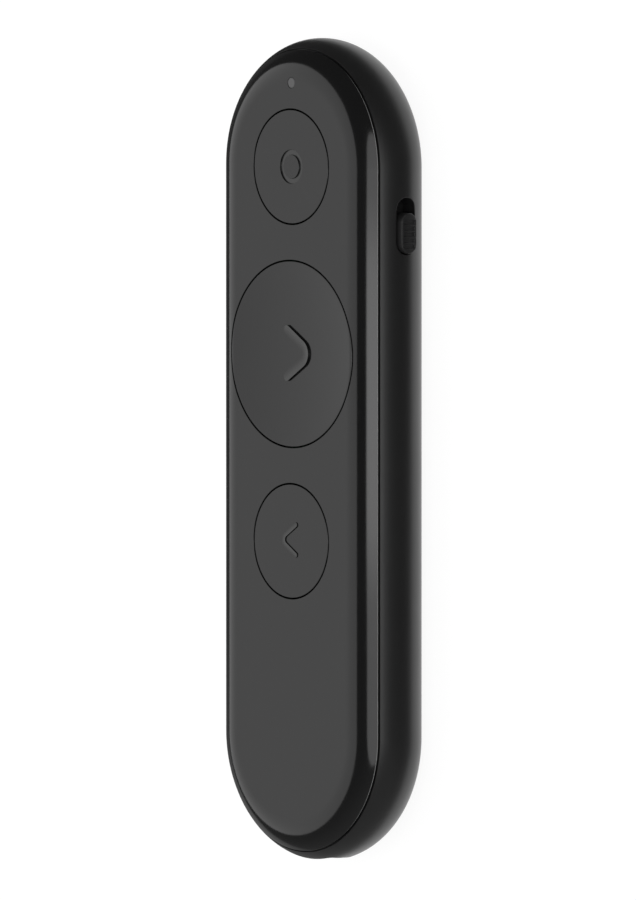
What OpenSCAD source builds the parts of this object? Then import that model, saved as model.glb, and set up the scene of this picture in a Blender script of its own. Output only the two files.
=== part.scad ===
// A pill-shaped wireless presentation clicker that lies on its flat back.
// X runs across the body towards the slide switch, Y runs along it towards the indicator light,
// and Z points out of the face with the keys. The origin is the middle of the flat back.

/* [Body] */
// Length of the body from end to end
body_l = 116; // [106:1:130]
// Width of the body
body_w = 36; // [35:0.5:42]
// Thickness of the body, whose sides are round all the way
body_t = 12; // [11.6:0.1:14]
// Wall thickness of the rear housing
wall_t = 1.4; // [1.2:0.1:1.6]
// Thickness of the front cover
cover_t = 1.2; // [1.0:0.1:1.3]
// Depth of the seam between cover and housing below the face
seam_depth = 2.12; // [1.8:0.02:2.2]
// Open width of the seam
seam_gap = 0.22; // [0.1:0.02:0.3]

/* [Keys] */
// Diameter of the spot key and of the back key
small_key_d = 15.98; // [14:0.02:17]
// Diameter of the next key
big_key_d = 26.1; // [23:0.1:26.6]
// Open gap round each key
key_gap = 0.2; // [0.15:0.01:0.4]
// Distance from one key's centre to that of the next one
key_pitch = 26.36; // [24:0.02:28]
// How far a key goes in when it is pressed
key_travel = 0.3; // [0.2:0.05:0.3]
// Height of the skirt round the underside of a key, from the face down
key_skirt_h = 1.8; // [1.6:0.05:1.9]
// Thickness of a key's plate where it is thinnest
key_plate_t = 0.9; // [0.7:0.05:0.9]
// Rounding of a key's upper edge
key_edge_r = 0.15; // [0.05:0.05:0.3]
// Depth of the dish in the next key
dish_depth = 0.75; // [0.4:0.05:0.8]

/* [Key marks] */
// Radius of the middle of the ring cut into the spot key
ring_r = 2.08; // [1.5:0.02:3]
// Width of the ring's groove
ring_w = 0.78; // [0.3:0.02:1]
// Depth of the ring's groove
ring_depth = 0.2; // [0.1:0.05:0.5]
// Height of the raised mark on the next key
next_mark_h = 0.42; // [0.1:0.02:0.5]
// Height of the raised mark on the back key
back_mark_h = 0.26; // [0.1:0.02:0.5]

/* [Slide switch] */
// Distance from the top end of the body to the middle of the switch's slot
slot_from_top = 26; // [24:0.5:29]
// Length of the slot
slot_l = 8; // [7:0.1:9]
// Width of the slot
slot_w = 3.3; // [3:0.05:3.8]
// Gap between the knob and the end of the slot that it rests at
knob_end_gap = 0.15; // [0.1:0.01:0.25]
// Gap between the knob and each side of the slot
knob_side_gap = 0.3; // [0.2:0.01:0.4]
// How far the knob slides
slide_travel = 2; // [1.5:0.05:2.2]
// How far the knob stands out from the side of the body
knob_proud = 0.7; // [0.4:0.05:1]

/* [Charging port] */
// Outer width of the port's steel shell
port_w = 8.94; // [8.6:0.02:9.2]
// Outer height of the port's steel shell
port_h = 3.2; // [3:0.02:3.4]
// Length of the port's steel shell
port_l = 7.3; // [6.5:0.1:8]
// Sheet thickness of the port's steel shell
port_sheet_t = 0.3; // [0.2:0.02:0.35]
// How far the port lies inside the lower end of the body
port_recess = 1; // [0.8:0.05:1.3]
// Gap between the port's shell and its opening in the housing
port_gap = 0.18; // [0.1:0.02:0.3]

/* [Board and cell] */
// Thickness of the circuit board
board_t = 0.8; // [0.6:0.1:1]
// Height of a tactile switch above the board, without its stem
tact_h = 1; // [0.9:0.05:1.1]
// Side of a tactile switch
tact_w = 5.2; // [4.5:0.1:6]
// Length of the cell's pouch
cell_l = 33; // [26:1:36]
// Width of the cell
cell_w = 20; // [15:0.5:20]
// Thickness of the cell
cell_t = 4; // [3:0.1:4.2]
// Thickness of the adhesive pad under the cell
pad_t = 0.3; // [0.2:0.05:0.5]
// Diameter of the light pipe
light_d = 1.45; // [1:0.05:2]
// Distance from the top end of the body to the middle of the light pipe
light_from_top = 6.2; // [6:0.1:6.8]
// Distance from the lower end of the body to the cell
cell_from_end = 21.5; // [19:0.5:24]

/* [Hidden] */
$fn = 96;

// Colours as the photograph shows them, and the usual ones for what is inside
housing_colour = "#2e2e30";
cover_colour = "#3c3c3e";
key_colour = "#434345";
knob_colour = "#1e1e20";
steel_colour = "#b9bcc0";
gold_colour = "#d9b45a";
chip_colour = "#26282b";
white_colour = "#e9e6dc";

// The body is every point within side_r of a flat round-ended plate at half height
side_r = body_t / 2;
flat_half_w = body_w / 2 - side_r;
spine_half = (body_l - body_w) / 2;

// How far two parts of one piece reach into each other where they join
bite = 0.1;

// Heights of the seam and of the rim of the rear housing under it
seam_z = body_t - seam_depth;
rim_z = seam_z - seam_gap;

// Half width, at height z, of a skin that lies inset below the outside of the body
function half_w(z, inset) = flat_half_w + sqrt(pow(side_r - inset, 2) - pow(z - side_r, 2));

// The cover's inner skirt drops inside the housing, and its clips hook under ledges there
skirt_gap = 0.17;
skirt_t = 0.8;
skirt_drop = 1;
skirt_out = half_w(rim_z, wall_t) - skirt_gap;
skirt_in = skirt_out - skirt_t;
skirt_z = rim_z - skirt_drop;
clip_l = 4;
clip_drop = 1.3;
ledge_gap = 0.15;
ledge_side = 0.5;
ledge_top = skirt_z - 0.1;
ledge_bottom = ledge_top - 0.5;
hook_gap = 0.1;
hook_z = ledge_bottom - hook_gap;
hook_t = 0.2;
hook_out = 0.35;

// Board, hung from the port's height so that the port sits at mid-depth under it
port_z = body_t / 2;
board_z = port_z + port_h / 2;
board_top = board_z + board_t;
board_edge_gap = 0.5;
board_r = skirt_in - board_edge_gap;
port_y = port_recess - body_l / 2;
port_mouth_l = 2;
board_tongue_w = 10;
board_tongue_l = 1.7;

// Charging port: the tongue in its mouth, the block that closes its back, and the contacts
tongue_w = 6.7;
tongue_t = 0.7;
tongue_front = 0.6;
port_back_y = port_y + port_l - port_sheet_t;
port_plug_l = 2;
contact_size = [0.25, port_l - port_sheet_t - port_plug_l - tongue_front - 0.5, 0.05];
contact_n = 12;
contact_pitch = 0.5;

// Keys along the centre line, counted down from the one in the middle of the round upper end
spot_y = spine_half;
next_y = spot_y - key_pitch;
back_y = next_y - key_pitch;
KEY_YS = [spot_y, next_y, back_y];
key_bottom = body_t - key_skirt_h;
KEY_DS = [small_key_d, big_key_d, small_key_d];
key_wall_t = 1.2;
tab_reach = 0.9;
tab_gap = 0.03;
tab_share = 0.6;
push_pin_r = 1.5;

// Pointed marks: outermost point, outer radius there, stroke, and the arms' lean and length.
// Each mark sits a little above the middle of its key.
next_mark_x = 3.54;
next_mark_r = 2.1;
next_mark_w = 1.3;
next_mark_lean = 31.85;
next_mark_l = 3.9;
next_mark_up = 0.08;
back_mark_x = 1.61;
back_mark_r = 1.26;
back_mark_w = 0.75;
back_mark_lean = 32.4;
back_mark_l = 2.57;
back_mark_up = 0.21;
mark_root = 0.3;

// Tactile switches: a cavity for the snap dome, and a bore in the roof for the stem
stem_r = 1;
stem_bore_gap = 0.08;
stem_spare = 0.1;
stem_top = board_top + tact_h + key_travel + stem_spare;
tact_floor_t = 0.15;
tact_roof_t = 0.3;
tact_cavity_r = 1.9;
stem_collar_r = 1.5;
stem_collar_t = 0.12;
collar_gap = 0.03;
collar_z = board_top + tact_h - tact_roof_t - collar_gap - stem_collar_t;
dome_t = 0.1;
dome_r = 1.7;
dome_gap = 0.02;
dome_rise = collar_z - dome_gap - board_top - tact_floor_t;

// Indicator light
light_y = body_l / 2 - light_from_top;
light_pad_h = 0.5;
light_pad_r = 2;
light_pad_z = body_t - cover_t - light_pad_h;
light_shoulder_r = 1.2;
light_gap = 0.02;
led_size = [1.6, 0.8, 0.6];
light_foot_gap = 0.3;

// Slide switch, at mid-depth behind a flat guide block inside the right wall
slot_y = body_l / 2 - slot_from_top;
knob_w = slot_w - 2 * knob_side_gap;
knob_l = slot_l - slide_travel - 2 * knob_end_gap;
knob_y = slot_y - slide_travel / 2;
guide_t = 1.2;
guide_x = body_w / 2 - wall_t - guide_t;
flange_gap = 0.1;
flange_t = 0.7;
flange_lap = 0.55;
flange_h = slot_w + 2 * flange_lap;
flange_half_l = slot_l / 2 + slide_travel / 2 + 0.3;
flange_x = guide_x - flange_gap - flange_t;
guide_half_l = flange_half_l + slide_travel / 2 + 1;
guide_half_h = flange_h / 2 + 1;
fork_size = [2.2, 3.2, 2.4];
fork_x = flange_x - fork_size.x;
groove_r = 0.22;
groove_pitch = 0.9;
lever_size = [1.3, 1.1];
lever_gap = 0.05;
lever_reach = 1.5;
slide_base_size = [4, 9, port_h];
frame_t = 0.2;
frame_x = fork_x - 0.6;
slider_size = [0.9, 2.8, 1.4];
slider_x = frame_x - 2;
slider_gap = 0.2;
lever_way_gap = 0.1;

// Screws that hold the board on bosses of the rear housing
screw_inset = 2.5;
screw_angle = 35;
screw_polar = (board_r - screw_inset) * [cos(screw_angle), sin(screw_angle)];
SCREW_POINTS = [for (sx = [-1, 1], sy = [-1, 1])
    [sx * screw_polar.x, sy * (spine_half + screw_polar.y)]];
screw_r = 0.7;
screw_head_r = 1.4;
screw_head_h = 0.8;
screw_l = 4;
screw_gap = 0.05;
screw_end_gap = 0.3;
screw_slot = [1.8, 0.34];
board_hole_r = 0.9;
boss_r = 2;
post_r = 1.5;

// Cell on its pad, in a low cradle between ribs of the housing floor
cell_y = cell_from_end + (cell_l - body_l) / 2;
cradle_gap = 0.4;
cradle_t = 1;
strip_l = 2.2;
strip_h = 2.6;
strip_lift = 0.5;
pad_inset = 2;
cell_z = wall_t + pad_t;
cell_top_y = cell_y + cell_l / 2;
cradle_l = cell_l + strip_l;
cradle_h = cell_z + cell_t / 2;

// Plug, header and leads of the cell. The leads leave the strip's front and climb to the plug.
lead_y = cell_top_y + strip_l;
lead_z = cell_z + strip_lift + strip_h / 2;
lead_l = 6.7;
plug_y = lead_y + lead_l;
plug_size = [3.8, 4, 2];
plug_out = 1.2;
plug_gap = 0.05;
header_size = [5, 4.2, port_h];
header_y = plug_y + plug_out + header_size.y / 2;
header_back_t = 1;
lead_r = 0.35;
lead_pitch = 1.25;
lead_gate_w = lead_pitch + 2 * lead_r + 1.6;
lead_rings = 12;
lead_sides = 8;

// Positions of the clips: near both ends, and short of the slide switch's guide block
clip_end_in = 6;
clip_block_gap = 2.5;
clip_low_y = clip_end_in - spine_half;
clip_high_y = slot_y - guide_half_l - clip_l / 2 - clip_block_gap;
CLIP_YS = [clip_low_y, (clip_low_y + clip_high_y) / 2, clip_high_y];

// Chips on the board: round the radio chip below the back key, by the port, and by the light
chip_gap = 0.3;
radio_size = [5, 5, 0.85];
radio_below_key = 9.4;
radio_y = back_y - radio_below_key;
radio_dot_r = 0.3;
radio_dot_in = 0.7;
radio_dot_depth = 0.08;
passive_size = [1, 0.5, 0.5];
passive_gap = 0.56;
passive_pitch = 2.2;
passive_r = radio_size.x / sqrt(2) + passive_gap + passive_size.x / 2;
passive_out = passive_r + passive_size.x / 2;
crystal_size = [3.2, 2.5, 0.7];
crystal_x = passive_out + chip_gap + crystal_size.x / 2;
sensor_size = [3, 3, 0.9];
sensor_x = -passive_out - chip_gap - sensor_size.x / 2;
antenna_size = [3.2, 1.6, 1.2];
antenna_gap = 1.2;
antenna_x = -light_shoulder_r - antenna_gap - antenna_size.x / 2;
antenna_y = light_y - 1.7;
charger_size = [2.9, 1.6, 1.1];
charger_x = screw_head_r + chip_gap + charger_size.x / 2 - screw_polar.x;
charger_y = port_y + port_l + 2;

// ---- Helpers -------------------------------------------------------------

// Half of the body's cross-section, inset below the outside
module half_section(inset) {
    translate([0, inset]) square([flat_half_w, body_t - 2 * inset]);
    translate([flat_half_w, side_r]) circle(r = side_r - inset);
}

// The whole pill: an extruded middle and two half-turned ends
module pill(inset = 0) {
    rotate([90, 0, 0])
        linear_extrude(height = 2 * spine_half, center = true)
            for (side = [0, 1]) mirror([side, 0]) half_section(inset);
    for (turn = [0, 180]) rotate([0, 0, turn])
        translate([0, spine_half, 0]) rotate_extrude(angle = 180) half_section(inset);
}

// All space between two heights
module slab(z0, z1) {
    translate([-body_w, -body_l, z0]) cube([2 * body_w, 2 * body_l, z1 - z0]);
}

// Round-ended outline along Y, from its full length and width
module round_ended(l, w) {
    square([w, l - w], center = true);
    for (side = [-1, 1]) translate([0, side * (l - w) / 2]) circle(d = w);
}

// A block centred in X and Y on a point, standing on a height
module block(size, at) {
    translate([at.x - size.x / 2, at.y - size.y / 2, at.z]) cube(size);
}

// A round-ended prism along X, at the slide switch's height
module side_prism(l, w, y, x0, x1) {
    translate([x0, y, port_z]) rotate([0, 90, 0])
        linear_extrude(height = x1 - x0) round_ended(l, w);
}

// A round-ended prism along Y, at the port's height
module port_prism(w, h, y0, y1) {
    translate([0, y1, port_z]) rotate([90, 0, 0])
        linear_extrude(height = y1 - y0) rotate([0, 0, 90]) round_ended(w, h);
}

// A pointed mark with a round apex and round ends, as an outline. The apex points to +X.
// apex_x is the outermost point, apex_r the outer radius there, and lean the arms' angle to X.
module chevron(apex_x, apex_r, stroke, lean, arm_l) {
    mid_r = apex_r - stroke / 2;
    translate([apex_x - apex_r, 0]) {
        difference() {
            circle(r = apex_r);
            circle(r = apex_r - stroke);
            for (side = [-1, 1]) rotate([0, 0, side * (90 - lean)])
                translate([-2 * apex_r, side > 0 ? 0 : -4 * apex_r])
                    square([4 * apex_r, 4 * apex_r]);
        }
        for (side = [-1, 1])
            translate(mid_r * [cos(90 - lean), side * sin(90 - lean)])
                rotate([0, 0, side * (180 - lean)]) {
                    translate([0, -stroke / 2]) square([arm_l, stroke]);
                    translate([arm_l, 0]) circle(d = stroke);
                }
    }
}

// ---- Shells --------------------------------------------------------------

// Everything that stands up from the inside of the rear housing
module housing_features() {
    for (p = SCREW_POINTS) translate(p) cylinder(r = boss_r, h = board_z);
    for (side = [-1, 1]) translate([side * (board_r - post_r), next_y])
        cylinder(r = post_r, h = board_z);
    translate([0, cell_y + strip_l / 2]) linear_extrude(height = cradle_h) difference() {
        square([cell_w, cradle_l] + 2 * (cradle_gap + cradle_t) * [1, 1], center = true);
        square([cell_w, cradle_l] + 2 * cradle_gap * [1, 1], center = true);
        translate([-lead_gate_w / 2, 0]) square([lead_gate_w, cradle_l]);
    }
    translate([guide_x, slot_y - guide_half_l, port_z - guide_half_h])
        cube([body_w, 2 * guide_half_l, 2 * guide_half_h]);
    for (side = [0, 1], y = CLIP_YS) mirror([side, 0, 0])
        translate([skirt_out + ledge_gap, y - clip_l / 2 - ledge_side, ledge_bottom])
            cube([body_w, clip_l + 2 * ledge_side, ledge_top - ledge_bottom]);
}

module rear_housing() {
    color(housing_colour) difference() {
        union() {
            difference() {
                pill();
                pill(wall_t);
            }
            intersection() {
                pill(wall_t / 2);
                housing_features();
            }
        }
        slab(rim_z, body_t + 1);
        side_prism(slot_l, slot_w, slot_y, guide_x - 1, body_w);
        port_prism(port_w + 2 * port_gap, port_h + 2 * port_gap, -body_l, port_y + port_mouth_l);
        for (p = SCREW_POINTS) translate([p.x, p.y, board_z - screw_l])
            cylinder(r = screw_r + screw_gap, h = screw_l + 1);
    }
}

// The skirt, the clips and the pad round the light pipe, under the front cover
module cover_features() {
    translate([0, 0, skirt_z]) linear_extrude(height = body_t - skirt_z) difference() {
        round_ended(2 * (spine_half + skirt_out), 2 * skirt_out);
        round_ended(2 * (spine_half + skirt_in), 2 * skirt_in);
    }
    translate([0, light_y, light_pad_z]) cylinder(r = light_pad_r, h = light_pad_h + cover_t);
}

// One clip: a tongue with a hook, as a profile in X and Z carried along Y
module clip(y) {
    tip_z = skirt_z - clip_drop;
    translate([0, y + clip_l / 2, 0]) rotate([90, 0, 0]) linear_extrude(height = clip_l)
        polygon([[skirt_in, skirt_z + bite], [skirt_out, skirt_z + bite], [skirt_out, hook_z],
            [skirt_out + hook_out, hook_z], [skirt_out + hook_out, hook_z - hook_t],
            [skirt_out, tip_z], [skirt_in, tip_z]]);
}

module front_cover() {
    color(cover_colour) difference() {
        union() {
            difference() {
                pill();
                pill(cover_t);
                slab(-1, seam_z);
            }
            intersection() {
                pill(cover_t / 2);
                cover_features();
            }
            for (side = [0, 1], y = CLIP_YS) mirror([side, 0, 0]) clip(y);
        }
        for (i = [0:2]) translate([0, KEY_YS[i], 0])
            cylinder(d = KEY_DS[i] + 2 * key_gap, h = body_t + 1);
        translate([0, light_y, 0]) cylinder(d = light_d + 2 * light_gap, h = body_t + 1);
    }
}

module light_pipe() {
    foot_z = board_top + led_size.z + light_foot_gap;
    color("#8a8c8f") translate([0, light_y, 0]) {
        translate([0, 0, foot_z]) cylinder(r = light_shoulder_r, h = light_pad_z - foot_z);
        translate([0, 0, foot_z]) cylinder(d = light_d, h = body_t - foot_z);
    }
}

// ---- Keys ----------------------------------------------------------------

// A key without its mark: a disc with a rounded upper edge, hollow below, with a push pin for
// the switch under it and two tabs that hold it under the cover
module key_cap(d, dish) {
    r = d / 2;
    plate_z = body_t - dish - key_plate_t;
    difference() {
        rotate_extrude() {
            translate([0, key_bottom]) square([r, key_skirt_h - key_edge_r]);
            translate([0, key_bottom]) square([r - key_edge_r, key_skirt_h]);
            translate([r - key_edge_r, body_t - key_edge_r]) circle(r = key_edge_r);
        }
        translate([0, 0, key_bottom - 1]) cylinder(r = r - key_wall_t, h = plate_z - key_bottom + 1);
    }
    translate([0, 0, stem_top]) cylinder(r = push_pin_r, h = plate_z + bite - stem_top);
    for (side = [0, 1]) mirror([0, side, 0]) intersection() {
        translate([0, 0, key_bottom]) difference() {
            cylinder(r = r + tab_reach, h = key_skirt_h - cover_t - tab_gap);
            translate([0, 0, -1]) cylinder(r = r - key_wall_t / 2, h = key_skirt_h);
        }
        translate([-tab_share * r, 0, 0]) cube([2 * tab_share * r, 2 * r, body_t]);
    }
}

module spot_button() {
    color(key_colour) translate([0, spot_y, 0]) difference() {
        key_cap(small_key_d, 0);
        translate([0, 0, body_t - ring_depth]) difference() {
            cylinder(r = ring_r + ring_w / 2, h = 1);
            translate([0, 0, -1]) cylinder(r = ring_r - ring_w / 2, h = body_t);
        }
    }
}

// The dish is a very large sphere that cuts the whole cap down to its rim
module dish(d, depth) {
    dish_r = (pow(d / 2, 2) + pow(depth, 2)) / (2 * depth);
    rotate_extrude() intersection() {
        translate([0, body_t - depth + dish_r]) circle(r = dish_r, $fn = 720);
        translate([0, body_t - depth - 1]) square([d / 2 + 1, depth + 1.5]);
    }
}

module next_button() {
    mark_z = body_t - dish_depth;
    color(key_colour) {
        difference() {
            intersection() {
                translate([0, next_y, 0]) key_cap(big_key_d, dish_depth);
                pill();
            }
            translate([0, next_y, 0]) dish(big_key_d, dish_depth);
        }
        translate([0, next_y + next_mark_up, mark_z - mark_root])
            linear_extrude(height = next_mark_h + mark_root)
                chevron(next_mark_x, next_mark_r, next_mark_w, next_mark_lean, next_mark_l);
    }
}

module back_button() {
    color(key_colour) translate([0, back_y, 0]) {
        key_cap(small_key_d, 0);
        translate([0, back_mark_up, body_t - mark_root])
            linear_extrude(height = back_mark_h + mark_root) mirror([1, 0])
                chevron(back_mark_x, back_mark_r, back_mark_w, back_mark_lean, back_mark_l);
    }
}

// ---- Tactile switches ----------------------------------------------------

module tact_base(y) {
    color(chip_colour) difference() {
        block([tact_w, tact_w, tact_h], [0, y, board_top]);
        translate([0, y, board_top + tact_floor_t])
            cylinder(r = tact_cavity_r, h = tact_h - tact_floor_t - tact_roof_t);
        translate([0, y, board_top + tact_floor_t]) cylinder(r = stem_r + stem_bore_gap, h = tact_h);
    }
}

module tact_stem(y) {
    color(white_colour) translate([0, y, 0]) {
        translate([0, 0, collar_z]) cylinder(r = stem_r, h = stem_top - collar_z);
        translate([0, 0, collar_z]) cylinder(r = stem_collar_r, h = stem_collar_t);
    }
}

// A thin spherical cap that stands on the switch's floor
module tact_dome(y) {
    ball_r = (pow(dome_r, 2) + pow(dome_rise, 2)) / (2 * dome_rise);
    floor_z = board_top + tact_floor_t;
    color(steel_colour) translate([0, y, floor_z]) rotate_extrude() intersection() {
        translate([0, dome_rise - ball_r]) difference() {
            circle(r = ball_r);
            circle(r = ball_r - dome_t);
        }
        square([dome_r + 1, dome_rise + 1]);
    }
}

module spot_stem() tact_stem(spot_y);
module next_stem() tact_stem(next_y);
module back_stem() tact_stem(back_y);
module spot_dome() tact_dome(spot_y);
module next_dome() tact_dome(next_y);
module back_dome() tact_dome(back_y);
module spot_switch() tact_base(spot_y);
module next_switch() tact_base(next_y);
module back_switch() tact_base(back_y);

// ---- Slide switch --------------------------------------------------------

// The knob follows the round side of the body, a little above it, and has cross grooves for grip
module slide_knob() {
    color(knob_colour) difference() {
        union() {
            intersection() {
                side_prism(knob_l, knob_w, knob_y, flange_x, body_w);
                translate([flat_half_w, knob_y, port_z]) rotate([90, 0, 0])
                    cylinder(r = side_r + knob_proud, h = 2 * slot_l, center = true);
            }
            translate([flange_x, knob_y - flange_half_l, port_z - flange_h / 2])
                cube([flange_t, 2 * flange_half_l, flange_h]);
            translate([fork_x, knob_y - fork_size.y / 2, port_z - fork_size.z / 2])
                cube(fork_size + [bite, 0, 0]);
        }
        for (i = [-2:2]) translate([flat_half_w, knob_y + i * groove_pitch, port_z])
            rotate([90, 0, 0]) rotate_extrude()
                translate([side_r + knob_proud, 0]) circle(r = groove_r);
        translate([fork_x - 1, knob_y - lever_size.x / 2 - lever_gap,
            port_z - lever_size.y / 2 - lever_gap])
            cube([lever_reach + lever_gap + 1, lever_size.x + 2 * lever_gap,
                lever_size.y + 2 * lever_gap]);
    }
}

// The lever: a slider inside the switch, and the stub that reaches into the knob
module slide_lever() {
    stub_x = slider_x + slider_size.x - bite;
    color(white_colour) {
        translate([slider_x, knob_y - slider_size.y / 2, port_z - slider_size.z / 2])
            cube(slider_size);
        translate([stub_x, knob_y - lever_size.x / 2, port_z - lever_size.y / 2])
            cube([fork_x + lever_reach - stub_x, lever_size.x, lever_size.y]);
    }
}

// The space that the lever needs inside the switch, over its whole travel
module lever_way() {
    translate([slider_x - slider_gap, slot_y - (slider_size.y + slide_travel) / 2 - slider_gap,
        port_z - slider_size.z / 2 - lever_way_gap])
        cube([slider_size.x + 2 * slider_gap, slider_size.y + slide_travel + 2 * slider_gap,
            slider_size.z + 2 * lever_way_gap]);
    translate([slider_x, slot_y - (lever_size.x + slide_travel) / 2 - lever_way_gap,
        port_z - lever_size.y / 2 - lever_way_gap])
        cube([fork_x - slider_x, lever_size.x + slide_travel + 2 * lever_way_gap,
            lever_size.y + 2 * lever_way_gap]);
}

module slide_switch_base() {
    color(chip_colour) difference() {
        translate([frame_x - slide_base_size.x, slot_y - slide_base_size.y / 2 + frame_t,
            board_z - slide_base_size.z + frame_t])
            cube(slide_base_size - frame_t * [1, 2, 1]);
        lever_way();
    }
}

// The folded steel frame round the switch, open towards the board and at the back
module slide_switch_frame() {
    color(steel_colour) difference() {
        translate([frame_x - slide_base_size.x, slot_y - slide_base_size.y / 2,
            board_z - slide_base_size.z])
            cube(slide_base_size);
        translate([frame_x - slide_base_size.x - 1, slot_y - slide_base_size.y / 2 + frame_t,
            board_z - slide_base_size.z + frame_t])
            cube(slide_base_size + [1 - frame_t, -2 * frame_t, 0]);
        lever_way();
    }
}

// ---- Charging port -------------------------------------------------------

module port_shell() {
    color(steel_colour) difference() {
        port_prism(port_w, port_h, port_y, port_y + port_l);
        port_prism(port_w - 2 * port_sheet_t, port_h - 2 * port_sheet_t,
            port_y - 1, port_y + port_l - port_sheet_t);
    }
}

// The insulating block at the back of the port and the tongue that stands out of it
module port_tongue() {
    color(chip_colour) {
        port_prism(port_w - 2 * port_sheet_t, port_h - 2 * port_sheet_t,
            port_back_y - port_plug_l, port_back_y);
        translate([-tongue_w / 2, port_y + tongue_front, port_z - tongue_t / 2])
            cube([tongue_w, port_back_y - bite - port_y - tongue_front, tongue_t]);
    }
}

// Two rows of contacts on the faces of the tongue
module port_contacts() {
    color(gold_colour) for (i = [0:contact_n - 1], side = [0, 1])
        block(contact_size, [(i - (contact_n - 1) / 2) * contact_pitch,
            port_back_y - port_plug_l - contact_size.y / 2,
            port_z + (side == 0 ? tongue_t / 2 : -tongue_t / 2 - contact_size.z)]);
}

// ---- Board and what is on it ---------------------------------------------

module circuit_board() {
    color("#1d4a33") translate([0, 0, board_z]) linear_extrude(height = board_t) difference() {
        union() {
            round_ended(2 * (spine_half + board_r), 2 * board_r);
            translate([-board_tongue_w / 2, -spine_half - board_r - board_tongue_l])
                square([board_tongue_w, board_tongue_l + 3]);
        }
        for (p = SCREW_POINTS) translate(p) circle(r = board_hole_r);
    }
}

module board_screws() {
    color(steel_colour) for (p = SCREW_POINTS) translate([p.x, p.y, 0]) difference() {
        union() {
            translate([0, 0, board_z - screw_l + screw_end_gap])
                cylinder(r = screw_r, h = screw_l - screw_end_gap + board_t + bite);
            translate([0, 0, board_top]) cylinder(r = screw_head_r, h = screw_head_h);
        }
        for (turn = [0, 90]) rotate([0, 0, turn])
            block([screw_slot.x, screw_slot.y, screw_head_h], [0, 0, board_top + screw_head_h / 2]);
    }
}

module radio_chip() {
    color(chip_colour) difference() {
        block(radio_size, [0, radio_y, board_top]);
        translate([radio_dot_in - radio_size.x / 2, radio_y + radio_size.y / 2 - radio_dot_in,
            board_top + radio_size.z - radio_dot_depth])
            cylinder(r = radio_dot_r, h = 1);
    }
}

module crystal() {
    color(steel_colour) block(crystal_size, [crystal_x, radio_y, board_top]);
}

module chip_antenna() {
    color(white_colour) block(antenna_size, [antenna_x, antenna_y, board_top]);
}

module charging_chip() {
    color(chip_colour) block(charger_size, [charger_x, charger_y, board_top]);
}

module motion_sensor() {
    color(chip_colour) block(sensor_size, [sensor_x, radio_y, board_top]);
}

// Resistors and capacitors: a ring round the radio chip and a row by the charging chip
module passives() {
    color("#a8895f") {
        for (i = [0:7]) translate([0, radio_y, board_top]) rotate([0, 0, 22.5 + 45 * i])
            block(passive_size, [passive_r, 0, 0]);
        for (i = [1:4])
            block(passive_size, [charger_x + charger_size.x / 2 + (i - 0.5) * passive_pitch,
                charger_y, board_top]);
    }
}

module indicator_led() {
    color(white_colour) block(led_size, [0, light_y, board_top]);
}

// ---- Cell ----------------------------------------------------------------

// A pouch with rounded long sides
module cell_pouch() {
    color(steel_colour) translate([0, cell_top_y, cell_z + cell_t / 2]) rotate([90, 0, 0])
        linear_extrude(height = cell_l) rotate([0, 0, 90]) round_ended(cell_w, cell_t);
}

module cell_protection() {
    color("#b8862c") block([cell_w - cell_t, strip_l, strip_h],
        [0, cell_top_y + strip_l / 2, cell_z + strip_lift]);
}

module cell_pad() {
    color("#ddd8c8") block([cell_w - cell_t, cell_l - 2 * pad_inset, pad_t],
        [0, cell_y, wall_t]);
}

module cell_header() {
    pocket = [plug_size.x + 2 * plug_gap, header_size.y, plug_size.z + 2 * plug_gap];
    color(white_colour) difference() {
        block(header_size, [0, header_y, board_z - header_size.z]);
        block(pocket, [0, header_y - header_back_t, port_z - pocket.z / 2]);
    }
}

module cell_plug() {
    color(white_colour)
        block(plug_size, [0, plug_y + plug_size.y / 2, port_z - plug_size.z / 2]);
}

// Share of the climb done at a share t of the way, level at both ends
function climb(t) = (1 - cos(180 * t)) / 2;
function lead_slope(t) = atan2(PI / 2 * sin(180 * t) * (port_z - lead_z), lead_l);
function lead_point(t, x) = [x, lead_y + t * lead_l, lead_z + climb(t) * (port_z - lead_z)];

// A tube along the lead's route, as rings of points joined by flat faces
module lead(x) {
    n = lead_rings;
    m = lead_sides;
    points = [for (i = [0:n], j = [0:m - 1]) let (t = i / n, a = 360 * j / m, s = lead_slope(t))
        lead_point(t, x) + lead_r * [cos(a), -sin(a) * sin(s), sin(a) * cos(s)]];
    sides = [for (i = [0:n - 1], j = [0:m - 1]) let (k = (j + 1) % m)
        [i * m + j, i * m + k, (i + 1) * m + k, (i + 1) * m + j]];
    polyhedron(points, concat(sides, [[for (j = [m - 1:-1:0]) j]], [[for (j = [0:m - 1]) n * m + j]]));
}

module cell_lead_red() {
    color("#b3261e") lead(-lead_pitch / 2);
}

module cell_lead_black() {
    color("#1a1a1a") lead(lead_pitch / 2);
}

rear_housing();
front_cover();
light_pipe();
spot_button();
next_button();
back_button();
spot_stem();
next_stem();
back_stem();
spot_dome();
next_dome();
back_dome();
spot_switch();
next_switch();
back_switch();
slide_knob();
slide_lever();
slide_switch_base();
slide_switch_frame();
port_shell();
port_tongue();
port_contacts();
circuit_board();
board_screws();
radio_chip();
crystal();
chip_antenna();
charging_chip();
motion_sensor();
passives();
indicator_led();
cell_pouch();
cell_protection();
cell_pad();
cell_header();
cell_plug();
cell_lead_red();
cell_lead_black();
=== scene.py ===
# %% [markdown]
# # A wireless presentation clicker
# This lesson dresses a hand-held clicker for turning slides. Its solids are already made, and this
# file puts the finished skins, the plastics and the light round them. Every step says what a piece
# is on the real object, how it could be made in Blender, and why it is made this way.

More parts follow.
